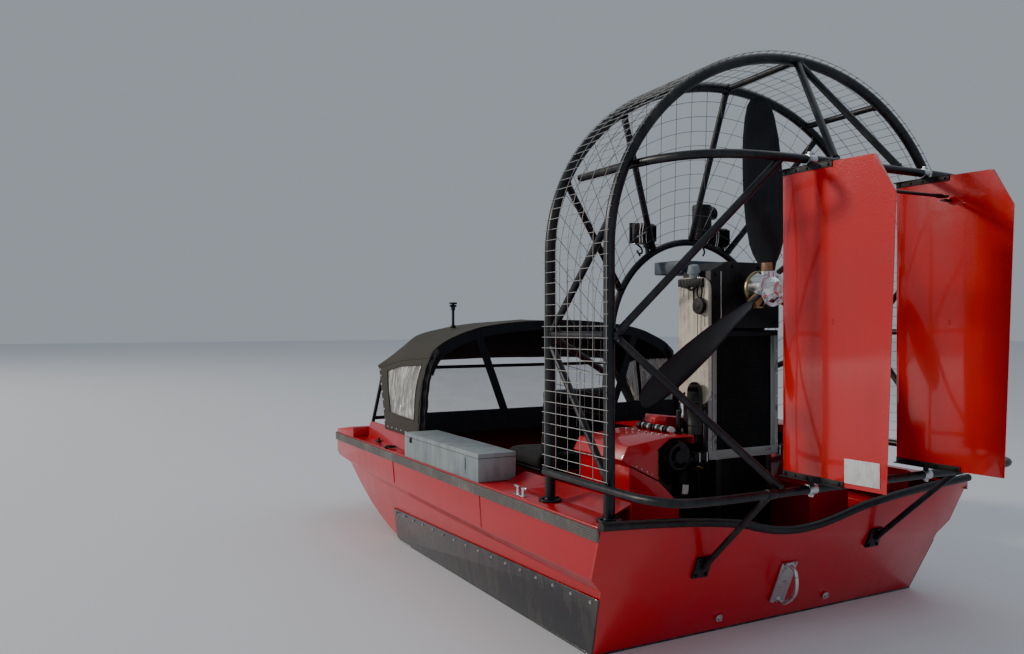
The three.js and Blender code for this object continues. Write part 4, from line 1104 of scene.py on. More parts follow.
BAND = {"stations": (-0.3, 1.3, 2.38), "tops": (0.300, 0.250, 0.220), "thick": 0.008, "pitch": 0.16}
BOLTS_ALONG = 16
SEAMS = (0.872, 2.15)
DRAIN = {"x": 0.36, "z": 0.075}
bolts = bmesh.new()
seams = bmesh.new()
for side in BOTH:
    for i in range(BOLTS_ALONG):
        y = -0.06 + i * BAND["pitch"]
        place, normal = on_side(side, y, between(BAND["stations"], BAND["tops"], y) - 0.022, BAND["thick"])
        add_bolt(bolts, place, normal, 0.0065)
    for y in SEAMS:
        line = [on_side(side, y, 0.412 + 0.17 * k / 5, 0.0005)[0] for k in range(6)]
        add_pipes(seams, [line], 0.003, sides=6)
for x in (-DRAIN["x"], DRAIN["x"]):
    skin, face, top = (on_transom(x, DRAIN["z"], out) for out in (0.0005, 0.012, 0.022))
    add_rod(bolts, skin, face, 0.021, bevel=0.003)
    add_rod(bolts, face, top, 0.010, sides=6, bevel=0.001)
finished("hull_side_bolts", bolts, "aluminium")
finished("hull_side_seams", seams, "red_paint")

CLEAT = {"x": 1.158, "y": 0.485, "leg": 0.026, "high": 0.036, "horn": 0.062}
RING = {"x": 1.150, "y": 2.30, "radius": 0.034, "wire": 0.005}
LATCH = {"x": 1.122, "y": 2.62, "half": (0.012, 0.03, 0.007)}
metal = bmesh.new()
black = bmesh.new()
for side in BOTH:
    foot = at(side * CLEAT["x"], CLEAT["y"], DECK_TOP)
    add_box(metal, foot - Vector((0.016, 0.05, -0.0003)), foot + Vector((0.016, 0.05, 0.006)), 0.002)
    top = foot + UP * CLEAT["high"]
    for step in (-1, 1):
        leg = FORWARD * step * CLEAT["leg"]
        add_rod(metal, foot + leg + UP * 0.005, top + leg, 0.009, sides=14, end_radius=0.007)
        add_rod(metal, top + leg * 0.6, top + FORWARD * step * CLEAT["horn"] + UP * 0.006, 0.0085, sides=14,
                end_radius=0.005, bevel=0.002)
    ring_at = at(side * RING["x"], RING["y"], DECK_TOP + RING["wire"] + 0.004)
    add_pipes(black, [circle(ring_at, UP, RING["radius"], 28)], RING["wire"], closed=True)
    lug = [ring_at + Vector(corner) for corner in ((-0.045, -0.014, -0.0086), (-0.022, 0.014, 0.007))]
    add_box(black, *lug, 0.003)
    latch = at(side * LATCH["x"], LATCH["y"], DECK_TOP + SEATED + LATCH["half"][2])
    add_block(black, latch, LATCH["half"], 0.003)
    knob = latch + Vector((0, -0.012, LATCH["half"][2]))
    add_rod(black, knob, knob + UP * 0.016, 0.007, sides=12)
finished("deck_cleats", metal, "polished")
finished("deck_rings", black, "part_black")

bm = bmesh.new()
add_transom_pad(bm, 0, 0.215, 0.05, 0.115, 0.014, 0.003)
EYE_ROUTE = [(0.12, 0.01), (0.135, 0.06), (0.215, 0.095), (0.295, 0.06), (0.31, 0.01)]
add_pipes(bm, [through([on_transom(0, z, out) for z, out in EYE_ROUTE], steps=8)], 0.010, sides=14)
for z, _ in (EYE_ROUTE[0], EYE_ROUTE[-1]):
    add_bead(bm, on_transom(0, z, 0.015), TRANSOM_OUT, 0.011)
for x in (-0.036, 0.036):
    for z in (0.115, 0.215, 0.315):
        add_bolt(bm, on_transom(x, z, 0.0143), TRANSOM_OUT)
finished("tow_eye_bow", bm, "aluminium", replaces=["tow_eye"])
print("bolts, seams, cleats and tow eye placed")

# %% [markdown]
# Each rudder is a hollow wing of thin sheet, folded round its hinge tube and riveted at the tail. One
# wing outline is carried up in steps, its tail drawn out towards the top, the corner cut off by a plane,
# and the thin skin given the slow waves that show in its reflections.

# %% Rudder blades
RUDDER = {"x": 0.37, "y": -0.6, "nose": 0.140, "thick": 0.052, "tail_low": 0.390, "tail_high": 0.440,
          "low": 0.830, "high": 2.150, "chord_cut": 0.100, "height_cut": 0.170}
WING_STEPS = 12
WING_ROWS = 22
BUCKLE = 0.0013
HINGES = {side: at(side * RUDDER["x"], RUDDER["y"], 0) for side in BOTH}


def wing_half(thick, u):
    """Half the thickness of a symmetrical wing section, a share u of the way from nose to tail."""
    shape = 0.2969 * math.sqrt(u) - 0.126 * u - 0.3516 * u ** 2 + 0.2843 * u ** 3 - 0.1036 * u ** 4
    return 5 * thick * shape


def wing_outline(thick, nose, tail, steps):
    """A wing section: (across, along) from the nose down the port face and back."""
    port = []
    for i in range(steps + 1):
        u = (1 - math.cos(math.pi * i / steps)) / 2
        port.append((-max(wing_half(thick, u), 0.0014), nose - (nose + tail) * u))
    return [(0.0, nose), *port[1:], *[(-x, y) for x, y in port[:0:-1]]]


def up_blade(z):
    """How far up the blade a height lies, from 0 to 1."""
    return (z - RUDDER["low"]) / (RUDDER["high"] - RUDDER["low"])


def rudder_blade(hinge):
    """One blade: drawn out towards the top, buckled a little, and its corner cut off."""
    bm = bmesh.new()
    step = (RUDDER["high"] - RUDDER["low"]) / WING_ROWS
    outline = wing_outline(RUDDER["thick"], RUDDER["nose"], RUDDER["tail_low"], WING_STEPS)
    carried(bm, [hinge + Vector((x, y, RUDDER["low"])) for x, y in outline],
            [UP * step for _ in range(WING_ROWS)])
    for vert in bm.verts:
        way = up_blade(vert.co.z)
        chord = vert.co.y - hinge.y
        if chord < 0:
            vert.co.y += chord * way * (RUDDER["tail_high"] / RUDDER["tail_low"] - 1)
        if abs(vert.co.x - hinge.x) > 0.004:
            vert.co.x += BUCKLE * noise.noise(vert.co * 4.5) * (1 + 1.6 * abs(2 * way - 1) ** 4)
    corner = hinge + Vector((0, -RUDDER["tail_high"], RUDDER["high"] - RUDDER["height_cut"]))
    cut(bm, corner, Vector((0, -RUDDER["height_cut"], RUDDER["chord_cut"])).normalized(), clear_outer=True)
    bmesh.ops.holes_fill(bm, edges=[edge for edge in bm.edges if edge.is_boundary], sides=0)
    return bm


def on_blade(hinge, side_out, chord, z):
    """A point on a rudder's face; chord is measured aft of the hinge."""
    tail = RUDDER["tail_low"] + (RUDDER["tail_high"] - RUDDER["tail_low"]) * up_blade(z)
    half = wing_half(RUDDER["thick"], (RUDDER["nose"] + chord) / (RUDDER["nose"] + tail))
    return hinge + Vector((side_out * half, -chord, z))


STRAPS = [
    # height of the blade's end, towards the bar, aft reach, bar
    (RUDDER["high"], 1, 0.15, UPPER_BAR),
    (RUDDER["low"], -1, 0.20, LOWER_BAR),
]
RIVET_PITCH = 0.085
RIVETS_UP = 15
PAIR_HEIGHTS = (1.488, 1.502)
ROD_PIN = {"inward": 0.052, "aft": 0.15, "z": 2.039}
LABEL = {"low": 0.849, "high": 0.947, "front": 0.206, "aft": 0.363, "half": (0.0008, 0.0785, 0.049)}


def add_strap(bm, hinge, z, toward, reach, bar):
    """The plate on a blade's end, its flange on both faces with bolts, and the pin up to the bar."""
    plate_z, plate_top = sorted((z, z + toward * 0.005))
    add_box(bm, hinge + Vector((-0.03, -reach, plate_z)),
            hinge + Vector((0.03, RUDDER["nose"] - 0.004, plate_top)), 0.0015)
    for out in (-1, 1):
        flange = [on_blade(hinge, out, chord, z) for chord in (-0.132, -0.08, -0.02, 0.05, reach)]
        for a, b in zip(flange, flange[1:]):
            middle = (a + b) / 2 + Vector((out * 0.002, 0, -toward * 0.010))
            turn = Matrix.Rotation(math.atan2(b.x - a.x, a.y - b.y), 4, "Z")
            add_block(bm, middle, (0.0016, (a - b).length / 2 + 0.001, 0.013), 0.0008, turn)
        for chord in (-0.11, -0.045, 0.02, 0.085, reach - 0.02):
            place = on_blade(hinge, out, chord, z) + Vector((out * 0.0035, 0, -toward * 0.011))
            add_bolt(bm, place, Vector((out, 0, 0)), 0.0055)
    pin = hinge + Vector((0, bar["aft"] - RUDDER["y"], 0))
    add_rod(bm, pin + UP * (z - toward * 0.02), pin + UP * (bar["z"] - toward * 0.0182), 0.012, sides=18)


for name, side in SIDES.items():
    body = f"rudder_{name}"
    hinge = HINGES[side]
    bm = rudder_blade(hinge)
    rivets = []
    for step in range(RIVETS_UP):
        z = RUDDER["low"] + 0.05 + step * RIVET_PITCH
        if z < RUDDER["high"] - RUDDER["height_cut"]:
            rivets.append((0.372 + 0.05 * up_blade(z), z, 0.0035))
    rivets += [(0.15, z, 0.005) for z in PAIR_HEIGHTS]
    for chord, z, size in rivets:
        for out in (-1, 1):
            add_rivet(bm, on_blade(hinge, out, chord, z), Vector((out, 0, 0)), size)
    finished(f"{body}_blade", bm, "rudder_paint", body, [body], sharp=40)

    fittings = bmesh.new()
    for strap in STRAPS:
        add_strap(fittings, hinge, *strap)
    left, right = sorted((0, -side * 0.066))
    add_box(fittings, hinge + Vector((left, -0.164, 2.032)), hinge + Vector((right, -0.136, 2.040)), 0.0015)
    pin = hinge + Vector((-side * ROD_PIN["inward"], -ROD_PIN["aft"], ROD_PIN["z"]))
    if side < 0:
        add_rod(fittings, pin, pin + UP * 0.026, 0.005, sides=16)
        add_rod(fittings, pin, pin + UP * 0.0057, 0.010, sides=16)
        add_rod(fittings, pin + UP * 0.0235, pin + UP * 0.0285, 0.008, sides=6, bevel=0.001)
    else:
        add_rod(fittings, pin, pin + UP * 0.003, 0.008, sides=6, bevel=0.001)
    finished(f"{body}_straps", fittings, "part_black", body)

    if side < 0:
        plate = bmesh.new()
        corners = [on_blade(hinge, side, chord, z) + Vector((side * 0.0015, 0, 0))
                   for z in (LABEL["low"], LABEL["high"]) for chord in (LABEL["front"], LABEL["aft"])]
        lean = math.atan2(corners[0].x - corners[1].x, corners[0].y - corners[1].y)
        add_block(plate, sum(corners, Vector()) / 4, LABEL["half"], 0.0005, Matrix.Rotation(-lean, 4, "Z"))
        finished(f"{body}_blank_plate", plate, "plate_white", body)

clamps = bmesh.new()
for _, toward, _, bar in STRAPS:
    for side in BOTH:
        middle = at(side * RUDDER["x"], bar["aft"], bar["z"])
        add_rod_across(clamps, middle, 0.024, 0.0215, sides=20, bevel=0.001)
        add_bolt(clamps, middle + UP * toward * 0.020, UP * toward, 0.011)
finished("hinge_clamps", clamps, "aluminium")

rod = bmesh.new()
rod_ends = [at(side * (RUDDER["x"] - ROD_PIN["inward"]), RUDDER["y"] - ROD_PIN["aft"], 2.053)
            for side in BOTH]
add_rod(rod, rod_ends[0] - PORT_OUT * 0.014, rod_ends[1] + PORT_OUT * 0.014, 0.008, sides=16)
for end, inward in zip(rod_ends, (-PORT_OUT, PORT_OUT)):
    add_pipes(rod, [circle(end, UP, 0.0115, 24)], 0.0052, closed=True)
    add_rod(rod, end + inward * 0.018, end + inward * 0.06, 0.0105, sides=6, bevel=0.001)
finished("tie_rod_with_eyes", rod, "tube_black", "tie_rod", ["tie_rod"])
print("rudders, straps and tie rod ready")

# %% [markdown]
# The propeller's blades are carved composite: a round root in a clamp, then a twisted wing section that
# grows wide and thin. The sections are joined by bridging one ring of points to the next. The hub is
# turned and polished metal.

# %% Propeller
BLADE_SECTIONS = [
    # radius, chord, thickness, pitch in degrees
    (0.080, 0.070, 0.050, 58),
    (0.130, 0.090, 0.046, 54),
    (0.180, 0.136, 0.040, 49),
    (0.230, 0.164, 0.034, 44),
    (0.350, 0.192, 0.030, 36),
    (0.480, 0.205, 0.026, 29),
    (0.620, 0.203, 0.022, 24),
    (0.760, 0.190, 0.018, 20),
    (0.860, 0.162, 0.015, 18),
    (0.920, 0.130, 0.012, 17),
    (0.950, 0.090, 0.009, 16),
    (0.960, 0.052, 0.005, 16),
]
BLADE_COUNT = 3
FIRST_BLADE = math.radians(-4)
BLADE_POINTS = 10


def lofted(bm, rings):
    """A closed skin bridged from ring to ring of points, with a cap on each end."""
    loops = []
    for ring in rings:
        verts = [bm.verts.new(point) for point in ring]
        loops.append([bm.edges.new(pair) for pair in zip(verts, verts[1:] + verts[:1])])
    for a, b in zip(loops, loops[1:]):
        bmesh.ops.bridge_loops(bm, edges=a + b)
    for loop in (loops[0], loops[-1]):
        bmesh.ops.contextual_create(bm, geom=loop)


def blade_ring(radius, chord, thick, pitch):
    """One section of the upright blade: cambered, its leading edge round and its trailing edge thin."""
    turn = Matrix.Rotation(math.radians(-pitch), 3, "Z")
    ring = []
    for i in range(2 * BLADE_POINTS):
        angle = math.pi * i / BLADE_POINTS
        u = 0.5 * math.cos(angle)
        lift = 0.62 if math.sin(angle) > 0 else 0.32
        taper = math.sin(angle) * (1 - 0.35 * (u + 0.5))
        ring.append(turn @ Vector((u * chord, lift * thick * taper, 0)) + UP * radius)
    return ring


turns = [Matrix.Rotation(FIRST_BLADE - i * 2 * math.pi / BLADE_COUNT, 3, "Y") for i in range(BLADE_COUNT)]
bm = bmesh.new()
for turn in turns:
    lofted(bm, [[shaft + turn @ point for point in blade_ring(*row)] for row in BLADE_SECTIONS])
finished("propeller_blades", bm, "blade_carbon", "propeller", ["propeller"], sharp=60)

roots = bmesh.new()
hub = bmesh.new()
flange = bmesh.new()
for turn in turns:
    out = turn @ UP
    add_rod(roots, shaft + out * 0.085, shaft + out * 0.135, 0.031, sides=24, end_radius=0.028, bevel=0.002)
    add_rod(hub, shaft + out * 0.04, shaft + out * 0.092, 0.043, sides=28, bevel=0.003)
    beside = out.cross(FORWARD)
    for step in (-1, 1):
        add_bolt(hub, shaft + out * 0.066 + beside * step * 0.040 + AFT * 0.030, AFT, 0.007)
TURNED = [
    # piece, from and to, ahead of the propeller's plane, radius, sides, radius of the end, bevel
    (hub, 0.060, -0.030, 0.088, 36, None, 0.006),
    (hub, -0.030, -0.074, 0.072, 12, 0.040, 0.003),
    (hub, -0.070, -0.090, 0.022, 6, None, 0.002),
    (flange, 0.060, 0.078, 0.095, 36, None, 0.003),
    (flange, 0.078, 0.0945, 0.074, 30, None, 0.002),
]
for piece, start, end, radius, sides, end_radius, bevel in TURNED:
    add_rod(piece, shaft + FORWARD * start, shaft + FORWARD * end, radius, sides, end_radius, bevel)
for point in circle(shaft + AFT * 0.0305, AFT, 0.079, 6):
    add_bolt(hub, point, AFT)
for point in circle(shaft + FORWARD * 0.0783, FORWARD, 0.084, 9):
    add_bolt(flange, point, FORWARD, 0.005)
finished("propeller_roots", roots, "root_tan", "propeller")
finished("propeller_hub", hub, "polished", "propeller", sharp=20)
finished("propeller_flange", flange, "olive_brass", "propeller")
print(BLADE_COUNT, "blades of", BLADE_SECTIONS[-1][0], "m")

# %% [markdown]
# The radiator hangs behind the engine in a worn aluminium rim. Its core is a coarse black mesh over
# darker fins. A black hose end closes each end of the channel below it. The rim's top and the two legs
# under the channel are painted black as painted shade, for the shade on the legs and in the gap over the
# rim.

# %% Radiator
CORE = {"half": 0.215, "aft": 0.178, "front": 0.210, "low": 0.838, "high": 1.420}
MESH = {"pitch": 0.0105, "half": 0.0011, "deep": 0.006}
HOSE_END = {"from": 0.238, "low": 0.79, "high": 0.83}
RIM_TOP = 1.4206
HOSE_CLIPS = {"x": (0.252, 0.300),
              "round": ((0.170, 0.788), (0.218, 0.788), (0.218, 0.832), (0.170, 0.832))}
RIM_BOLTS = (0.86, 0.98, 1.1, 1.22, 1.34)


def coloured(made, index):
    """Gives the faces round some new vertices a material's index."""
    for vert in made:
        for face in vert.link_faces:
            face.material_index = index


bm = bmesh.new()
back = CORE["aft"] + MESH["deep"]
add_box(bm, at(-CORE["half"], back, CORE["low"]), at(CORE["half"], CORE["front"], CORE["high"]))
for i in range(1, int(2 * CORE["half"] / MESH["pitch"]) + 1):
    x = -CORE["half"] + i * MESH["pitch"]
    made = add_box(bm, at(x - MESH["half"], CORE["aft"] + 0.001, CORE["low"]),
                   at(x + MESH["half"], back + 0.0005, CORE["high"]))
    coloured(made, 1)
for i in range(1, int((CORE["high"] - CORE["low"]) / MESH["pitch"]) + 1):
    z = CORE["low"] + i * MESH["pitch"]
    made = add_box(bm, at(-CORE["half"], CORE["aft"], z - MESH["half"]),
                   at(CORE["half"], back - 0.0005, z + MESH["half"]))
    coloured(made, 1)
finished("radiator_core_mesh", bm, ["part_black", "tube_black"], replaces=["radiator_core"])

frame_mesh = plates["radiator_frame"].data
bm = bmesh.new()
bm.from_mesh(frame_mesh)
for side in BOTH:
    cut(bm, (side * HOSE_END["from"], 0, 0), (1, 0, 0), dist=1e-6)
for height in (HOSE_END["low"], RIM_TOP):
    cut(bm, (0, 0, height), (0, 0, 1), dist=1e-6)
# Painted shade: the legs under the channel and the rim's top take the black rubber finish, for the shade on
# the legs and in the gap over the rim. The hose ends are real black rubber.
for face in bm.faces:
    middle = face.calc_center_median()
    on_channel = middle.z < HOSE_END["high"] + 0.001
    hose_end = on_channel and abs(middle.x) > HOSE_END["from"]
    black = middle.z < HOSE_END["low"] or middle.z > RIM_TOP or hose_end
    face.material_index = 1 if black else 2 * int(on_channel)
bm.to_mesh(frame_mesh)
bm.free()
for entry in ("hose_rubber", "aluminium"):
    frame_mesh.materials.append(finishes[entry])

trim = bmesh.new()
clips = bmesh.new()
for side in BOTH:
    low, high = sorted((side * 0.186, side * 0.2135))
    add_box(trim, at(low, 0.1725, 0.832), at(high, 0.1775, RIM_TOP), 0.001)
    for z in RIM_BOLTS:
        add_bolt(clips, at(side * 0.228, 0.1722, z), AFT, 0.0045)
    for x in HOSE_CLIPS["x"]:
        add_pipes(clips, [[at(side * x, y, z) for y, z in HOSE_CLIPS["round"]]], 0.0035, closed=True)
finished("radiator_inner_flanges", trim, "worn_aluminium")
finished("radiator_bolts_and_clips", clips, "aluminium")

hoses = bmesh.new()
add_hose(hoses, [(-0.322, 0.194, 0.806), (-0.352, 0.20, 0.79), (-0.366, 0.26, 0.73), (-0.35, 0.37, 0.66)],
         0.017, 16)
add_hose(hoses, [(-0.252, 0.2, 1.06), (-0.276, 0.214, 1.0), (-0.29, 0.235, 0.9), (-0.30, 0.31, 0.82),
                 (-0.30, 0.395, 0.80)], 0.013, 14)
finished("radiator_hoses", hoses, "hose_rubber")
bm = bmesh.new()
add_hose(bm, [(-0.318, 0.205, 0.742), (-0.295, 0.186, 0.762), (-0.272, 0.184, 0.752), (-0.252, 0.2, 0.772)],
         0.0028)
finished("yellow_wire", bm, "olive_brass")
print("radiator dressed")

# %% [markdown]
# On each side a fuel tank carries a folded fairing, and a sheet runs from it over the exhaust drum. A seam
# with its screws crosses the tank's end, and tan lines on the fairing's inner edge and the sheet's edge are
# painted highlights.

# %% Tanks and exhaust
TANK_AFT = 0.148
DRUM = {"x": 0.46, "z": 0.83, "radius": 0.08, "aft": 0.150, "front": 0.57}
DOME = [(0.120, 0.022), (0.1235, 0.046), (0.130, 0.062), (0.139, 0.073), (0.150, 0.08)]
PIPE = [(0.462, 0.535, 0.80), (0.44, 0.56, 0.79), (0.39, 0.59, 0.74), (0.335, 0.615, 0.705)]
FAIRING_SEAM = [(0.752, 0.806), (0.584, 0.722)]
SCREW_PITCH = 0.055
screws = bmesh.new()
seams = bmesh.new()
worn = bmesh.new()
for name, side in SIDES.items():
    bm = bmesh.new()
    foot = at(side * DRUM["x"], 0, DRUM["z"])
    add_rod(bm, foot + FORWARD * DRUM["aft"], foot + FORWARD * DRUM["front"], DRUM["radius"], sides=48)
    add_turned(bm, foot, FORWARD, DOME, 48)
    for y in (0.16, 0.52):
        add_rod(bm, foot + FORWARD * y, foot + FORWARD * (y + 0.014), 0.0815, sides=48, bevel=0.001)
    add_hose(bm, [(side * x, y, z) for x, y, z in PIPE], 0.029, 20)
    finished(f"exhaust_{name}_drum", bm, "part_black", replaces=[f"exhaust_{name}"])
    seam_ends = [at(side * x, TANK_AFT - 0.0006, z) for x, z in FAIRING_SEAM]
    add_pipes(seams, [seam_ends], 0.0032)
    for way in (0.25, 0.42, 0.62, 0.8):
        add_bolt(screws, seam_ends[0].lerp(seam_ends[1], way) + UP * 0.015, AFT, 0.0036)
    # Painted highlight: tan lines on the fairing's inner edge and along the sheet's edge stand for the
    # light on these edges.
    add_pipes(worn, [[at(side * 0.5812, TANK_AFT - 0.0002, z) for z in (0.726, 0.868)]], 0.0022)
    add_pipes(worn, [[at(side * 0.3572, y, 0.927) for y in (TANK_AFT + 0.004, 0.574)]], 0.0016, sides=6)
    for i in range(7):
        add_bolt(screws, at(side * 0.512, 0.17 + SCREW_PITCH * i, 0.9312), UP)
    for z in (0.35, 0.55):
        add_pipes(seams, [[at(side * 0.7508, y, z) for y in (TANK_AFT + 0.006, 0.572)]], 0.002, sides=6)
finished("tank_seams", seams, "trim_rubber")
finished("tank_screws", screws, "aluminium")
finished("tank_painted_edge_highlights", worn, "root_tan")

RIB = {"count": 15, "pitch": 0.0185, "long": 0.015, "radius": 0.0185}
bm = bmesh.new()
for i in range(RIB["count"]):
    start = at(-0.425 + 0.006 * math.sin(i * 1.3), 0.235 + RIB["pitch"] * i, 0.947)
    made = add_rod(bm, start, start + FORWARD * RIB["long"], RIB["radius"], sides=16)
    coloured(made, i % 3 == 0)
finished("ribbed_hose_on_the_sheet", bm, ["hose_rubber", "polished"])
bm = bmesh.new()
foot = at(-0.372, 0.248, 0.9283)
add_rod(bm, foot, foot + UP * 0.1167, 0.0125, sides=18, bevel=0.002)
add_rod(bm, foot, foot + UP * 0.0077, 0.021, sides=18, bevel=0.002)
finished("post_on_the_sheet", bm, "tube_black")

CAP = [(1.13, 0.038), (1.155, 0.036), (1.172, 0.030), (1.184, 0.020), (1.189, 0.008)]
bm = bmesh.new()
label = bmesh.new()
foot = at(-0.316, 0.302, 0)
add_rod(bm, foot + UP * 0.50, foot + UP * 0.735, 0.043, sides=28, bevel=0.008)
add_rod(bm, foot + UP * 0.735, foot + UP * 0.752, 0.026, bevel=0.004)
finished("canister_below_the_exhaust", bm, "hose_rubber")
tilt = Matrix.Rotation(math.radians(8), 3, "Y")
add_box(label, at(-0.342, 0.2545, 0.612), at(-0.302, 0.2565, 0.66), 0.0005, tilt)
finished("canister_label", label, "plate_white")
bm = bmesh.new()
foot = at(-0.303, 0.206, 0)
add_rod(bm, foot + UP * 0.925, foot + UP * 1.13, 0.038, sides=28)
add_turned(bm, foot, UP, CAP, 28)
for z in (0.965, 1.085):
    add_rod(bm, foot + UP * z, foot + UP * (z + 0.012), 0.0392, sides=28, bevel=0.001)
finished("canister_by_the_panel", bm, "olive_rubber")
print("tanks, exhaust and canisters placed")

# %% [markdown]
# Above the radiator the drive housing shows its bolted boss. The cream panel beside it carries a small
# horn and a bundle of wires, with thin painted shadows of the guard's net below them.

# %% Drive housing and panel
PANEL_OUT = -0.262
HEAD_AFT = 0.16
ON_HEAD = HEAD_AFT - 0.0002
BOSS = {"bolts": 8, "circle": 0.078, "radius": 0.098}
HEAD_BOLTS = [(0.205, 1.49), (0.205, 1.62), (0.205, 1.735), (0.09, 1.78)]
PANEL_BOLTS = [(0.20, 1.69), (0.35, 1.69), (0.335, 1.12), (0.24, 1.12), (0.322, 1.368), (0.17, 1.40)]
bolts = bmesh.new()
rail = bmesh.new()
for i in range(BOSS["bolts"]):
    angle = 2 * math.pi * (i + 0.5) / BOSS["bolts"]
    round_shaft = Vector((math.cos(angle), 0, math.sin(angle))) * BOSS["circle"]
    add_bolt(bolts, at(0, ON_HEAD, shaft.z) + round_shaft, AFT, 0.008)
for x, z in HEAD_BOLTS:
    for side in BOTH:
        add_bolt(bolts, at(side * x, ON_HEAD, z), AFT, 0.007)
for y, z in PANEL_BOLTS:
    add_bolt(bolts, at(PANEL_OUT - 0.0002, y, z), PORT_OUT)
boss_ends = at(0, HEAD_AFT - 0.006, shaft.z), at(0, ON_HEAD, shaft.z)
add_rod(bolts, *boss_ends, BOSS["radius"], sides=48, bevel=0.002)
add_box(rail, at(-0.176, HEAD_AFT - 0.005, 1.50), at(-0.168, ON_HEAD, 1.752), 0.001)
add_box(rail, at(PANEL_OUT - 0.0015, 0.205, 1.7202), at(-0.2405, 0.379, 1.7225), 0.0005)
finished("drive_bolts", bolts, "part_black")
finished("drive_light_rails", rail, "aluminium")

PANEL_HORN = [
    # from and to, out of the panel, radius, sides, radius of the end, bevel
    (0.0, 0.018, 0.030, 28, None, 0.003),
    (0.016, 0.034, 0.045, 36, 0.041, 0.003),
    (0.034, 0.038, 0.020, 24, 0.012, 0.0),
]
WIRE_ROUTES = [
    # y, z along each wire
    [(0.215, 1.68), (0.222, 1.64), (0.205, 1.61), (0.196, 1.60)],
    [(0.245, 1.69), (0.25, 1.63), (0.238, 1.575), (0.205, 1.56)],
    [(0.19, 1.68), (0.186, 1.65), (0.19, 1.63), (0.188, 1.61)],
    [(0.30, 1.685), (0.285, 1.66), (0.262, 1.66), (0.245, 1.67)],
]
bm = bmesh.new()
place = at(PANEL_OUT - 0.0003, 0.192, 1.575)
for start, end, radius, sides, end_radius, bevel in PANEL_HORN:
    add_rod(bm, place + PORT_OUT * start, place + PORT_OUT * end, radius, sides, end_radius, bevel)
for i in range(8):
    y = 0.178 + 0.024 * i
    drop = 0.006 * math.sin(i * 2.1)
    add_box(bm, at(PANEL_OUT - 0.016, y, 1.672 + drop), at(PANEL_OUT - 0.0003, y + 0.0236, 1.716), 0.003)
for route in WIRE_ROUTES:
    add_hose(bm, [(PANEL_OUT - 0.010, y, z) for y, z in route], 0.0048)
finished("panel_horn_and_wires", bm, "hose_rubber")

bm = bmesh.new()
add_rod(bm, at(-0.256, 0.262, 1.7226), at(-0.262, 0.258, 1.748), 0.026, sides=24, bevel=0.002)
add_rod(bm, at(-0.262, 0.258, 1.746), at(-0.272, 0.252, 1.786), 0.036, sides=28, end_radius=0.024,
        bevel=0.004)
finished("breather_cap", bm, "locker_paint")

# Painted shadow: thin dark strips down the panel stand for the guard net's shadow below the horn and wires.
NET_SHADOW_LINES = [
    # y, top, length
    (0.205, 1.535, 0.10), (0.232, 1.54, 0.16), (0.265, 1.62, 0.07), (0.30, 1.66, 0.05), (0.176, 1.53, 0.06),
    (0.34, 1.665, 0.04),
]
marks = bmesh.new()
for y, top, long in NET_SHADOW_LINES:
    low = at(PANEL_OUT - 0.0006, y - 0.0022, top - long)
    add_box(marks, low, at(PANEL_OUT - 0.0001, y + 0.0022, top), 0.0002)
finished("panel_net_shadow_lines", marks, "trim_rubber")
print("drive housing and panel dressed")

# %% [markdown]
# Two work lamps and an air horn stand on the inner arch. The lamps look forward, so the camera sees their
# ribbed backs and the loose wires round them.

# %% Lamps and horn
LAMP = {"half": 0.078, "aft": 0.592, "front": 0.668, "low": 1.922, "high": 2.038}


def on_inner_arch(x):
    """A point on the top of the inner arch's middle line."""
    rise = INNER_ARCH["rise"] * math.sqrt(1 - (x / INNER_ARCH["half"]) ** 2)
    return at(x, INNER_ARCH["y"], INNER_ARCH["spring"] + rise)


def lamp_block(bm, x, left, aft, low, right, front, high, bevel):
    """A block of the lamp whose middle is at x; left and right are measured from there."""
    return add_box(bm, at(x + left, aft, low), at(x + right, front, high), bevel)


def build_lamp(name, x):
    """A work lamp: tapered housing with ribs, a rim with glass, a bracket and its stem."""
    bm = bmesh.new()
    half, aft, front, low, high = LAMP.values()
    housing = lamp_block(bm, x, 0.004 - half, aft + 0.008, low + 0.004, half - 0.004, front - 0.012,
                         high - 0.003, 0.02)
    for vert in housing:
        if vert.co.y < at(0, 0.62, 0).y:
            vert.co.x = x + (vert.co.x - x) * 0.86
    for i in range(9):
        rib = (i - 4) * 0.0135
        lamp_block(bm, x, rib - 0.0018, aft, low + 0.016, rib + 0.0018, aft + 0.012, high - 0.014, 0.0006)
    lamp_block(bm, x, -half, front - 0.014, low, half, front - 0.002, high, 0.005)
    glass = lamp_block(bm, x, 0.01 - half, front - 0.003, low + 0.01, half - 0.01, front, high - 0.01,
                       0.001)
    coloured(glass, 1)
    strip = lamp_block(bm, x, -half, aft + 0.012, low - 0.004, half, front - 0.014, low + 0.0005, 0.001)
    coloured(strip, 2)
    add_rod(bm, on_inner_arch(x) + UP * 0.012, at(x, 0.605, low), 0.012, sides=18)
    add_rod(bm, at(x, 0.605, low - 0.022), at(x, 0.605, low - 0.003), 0.02, sides=6, bevel=0.002)
    finished(f"work_lamp_{name}_body", bm, ["part_black", "lamp_glass", "aluminium"],
             replaces=[f"work_lamp_{name}"])


build_lamp("port", -0.300)
build_lamp("starboard", 0.230)

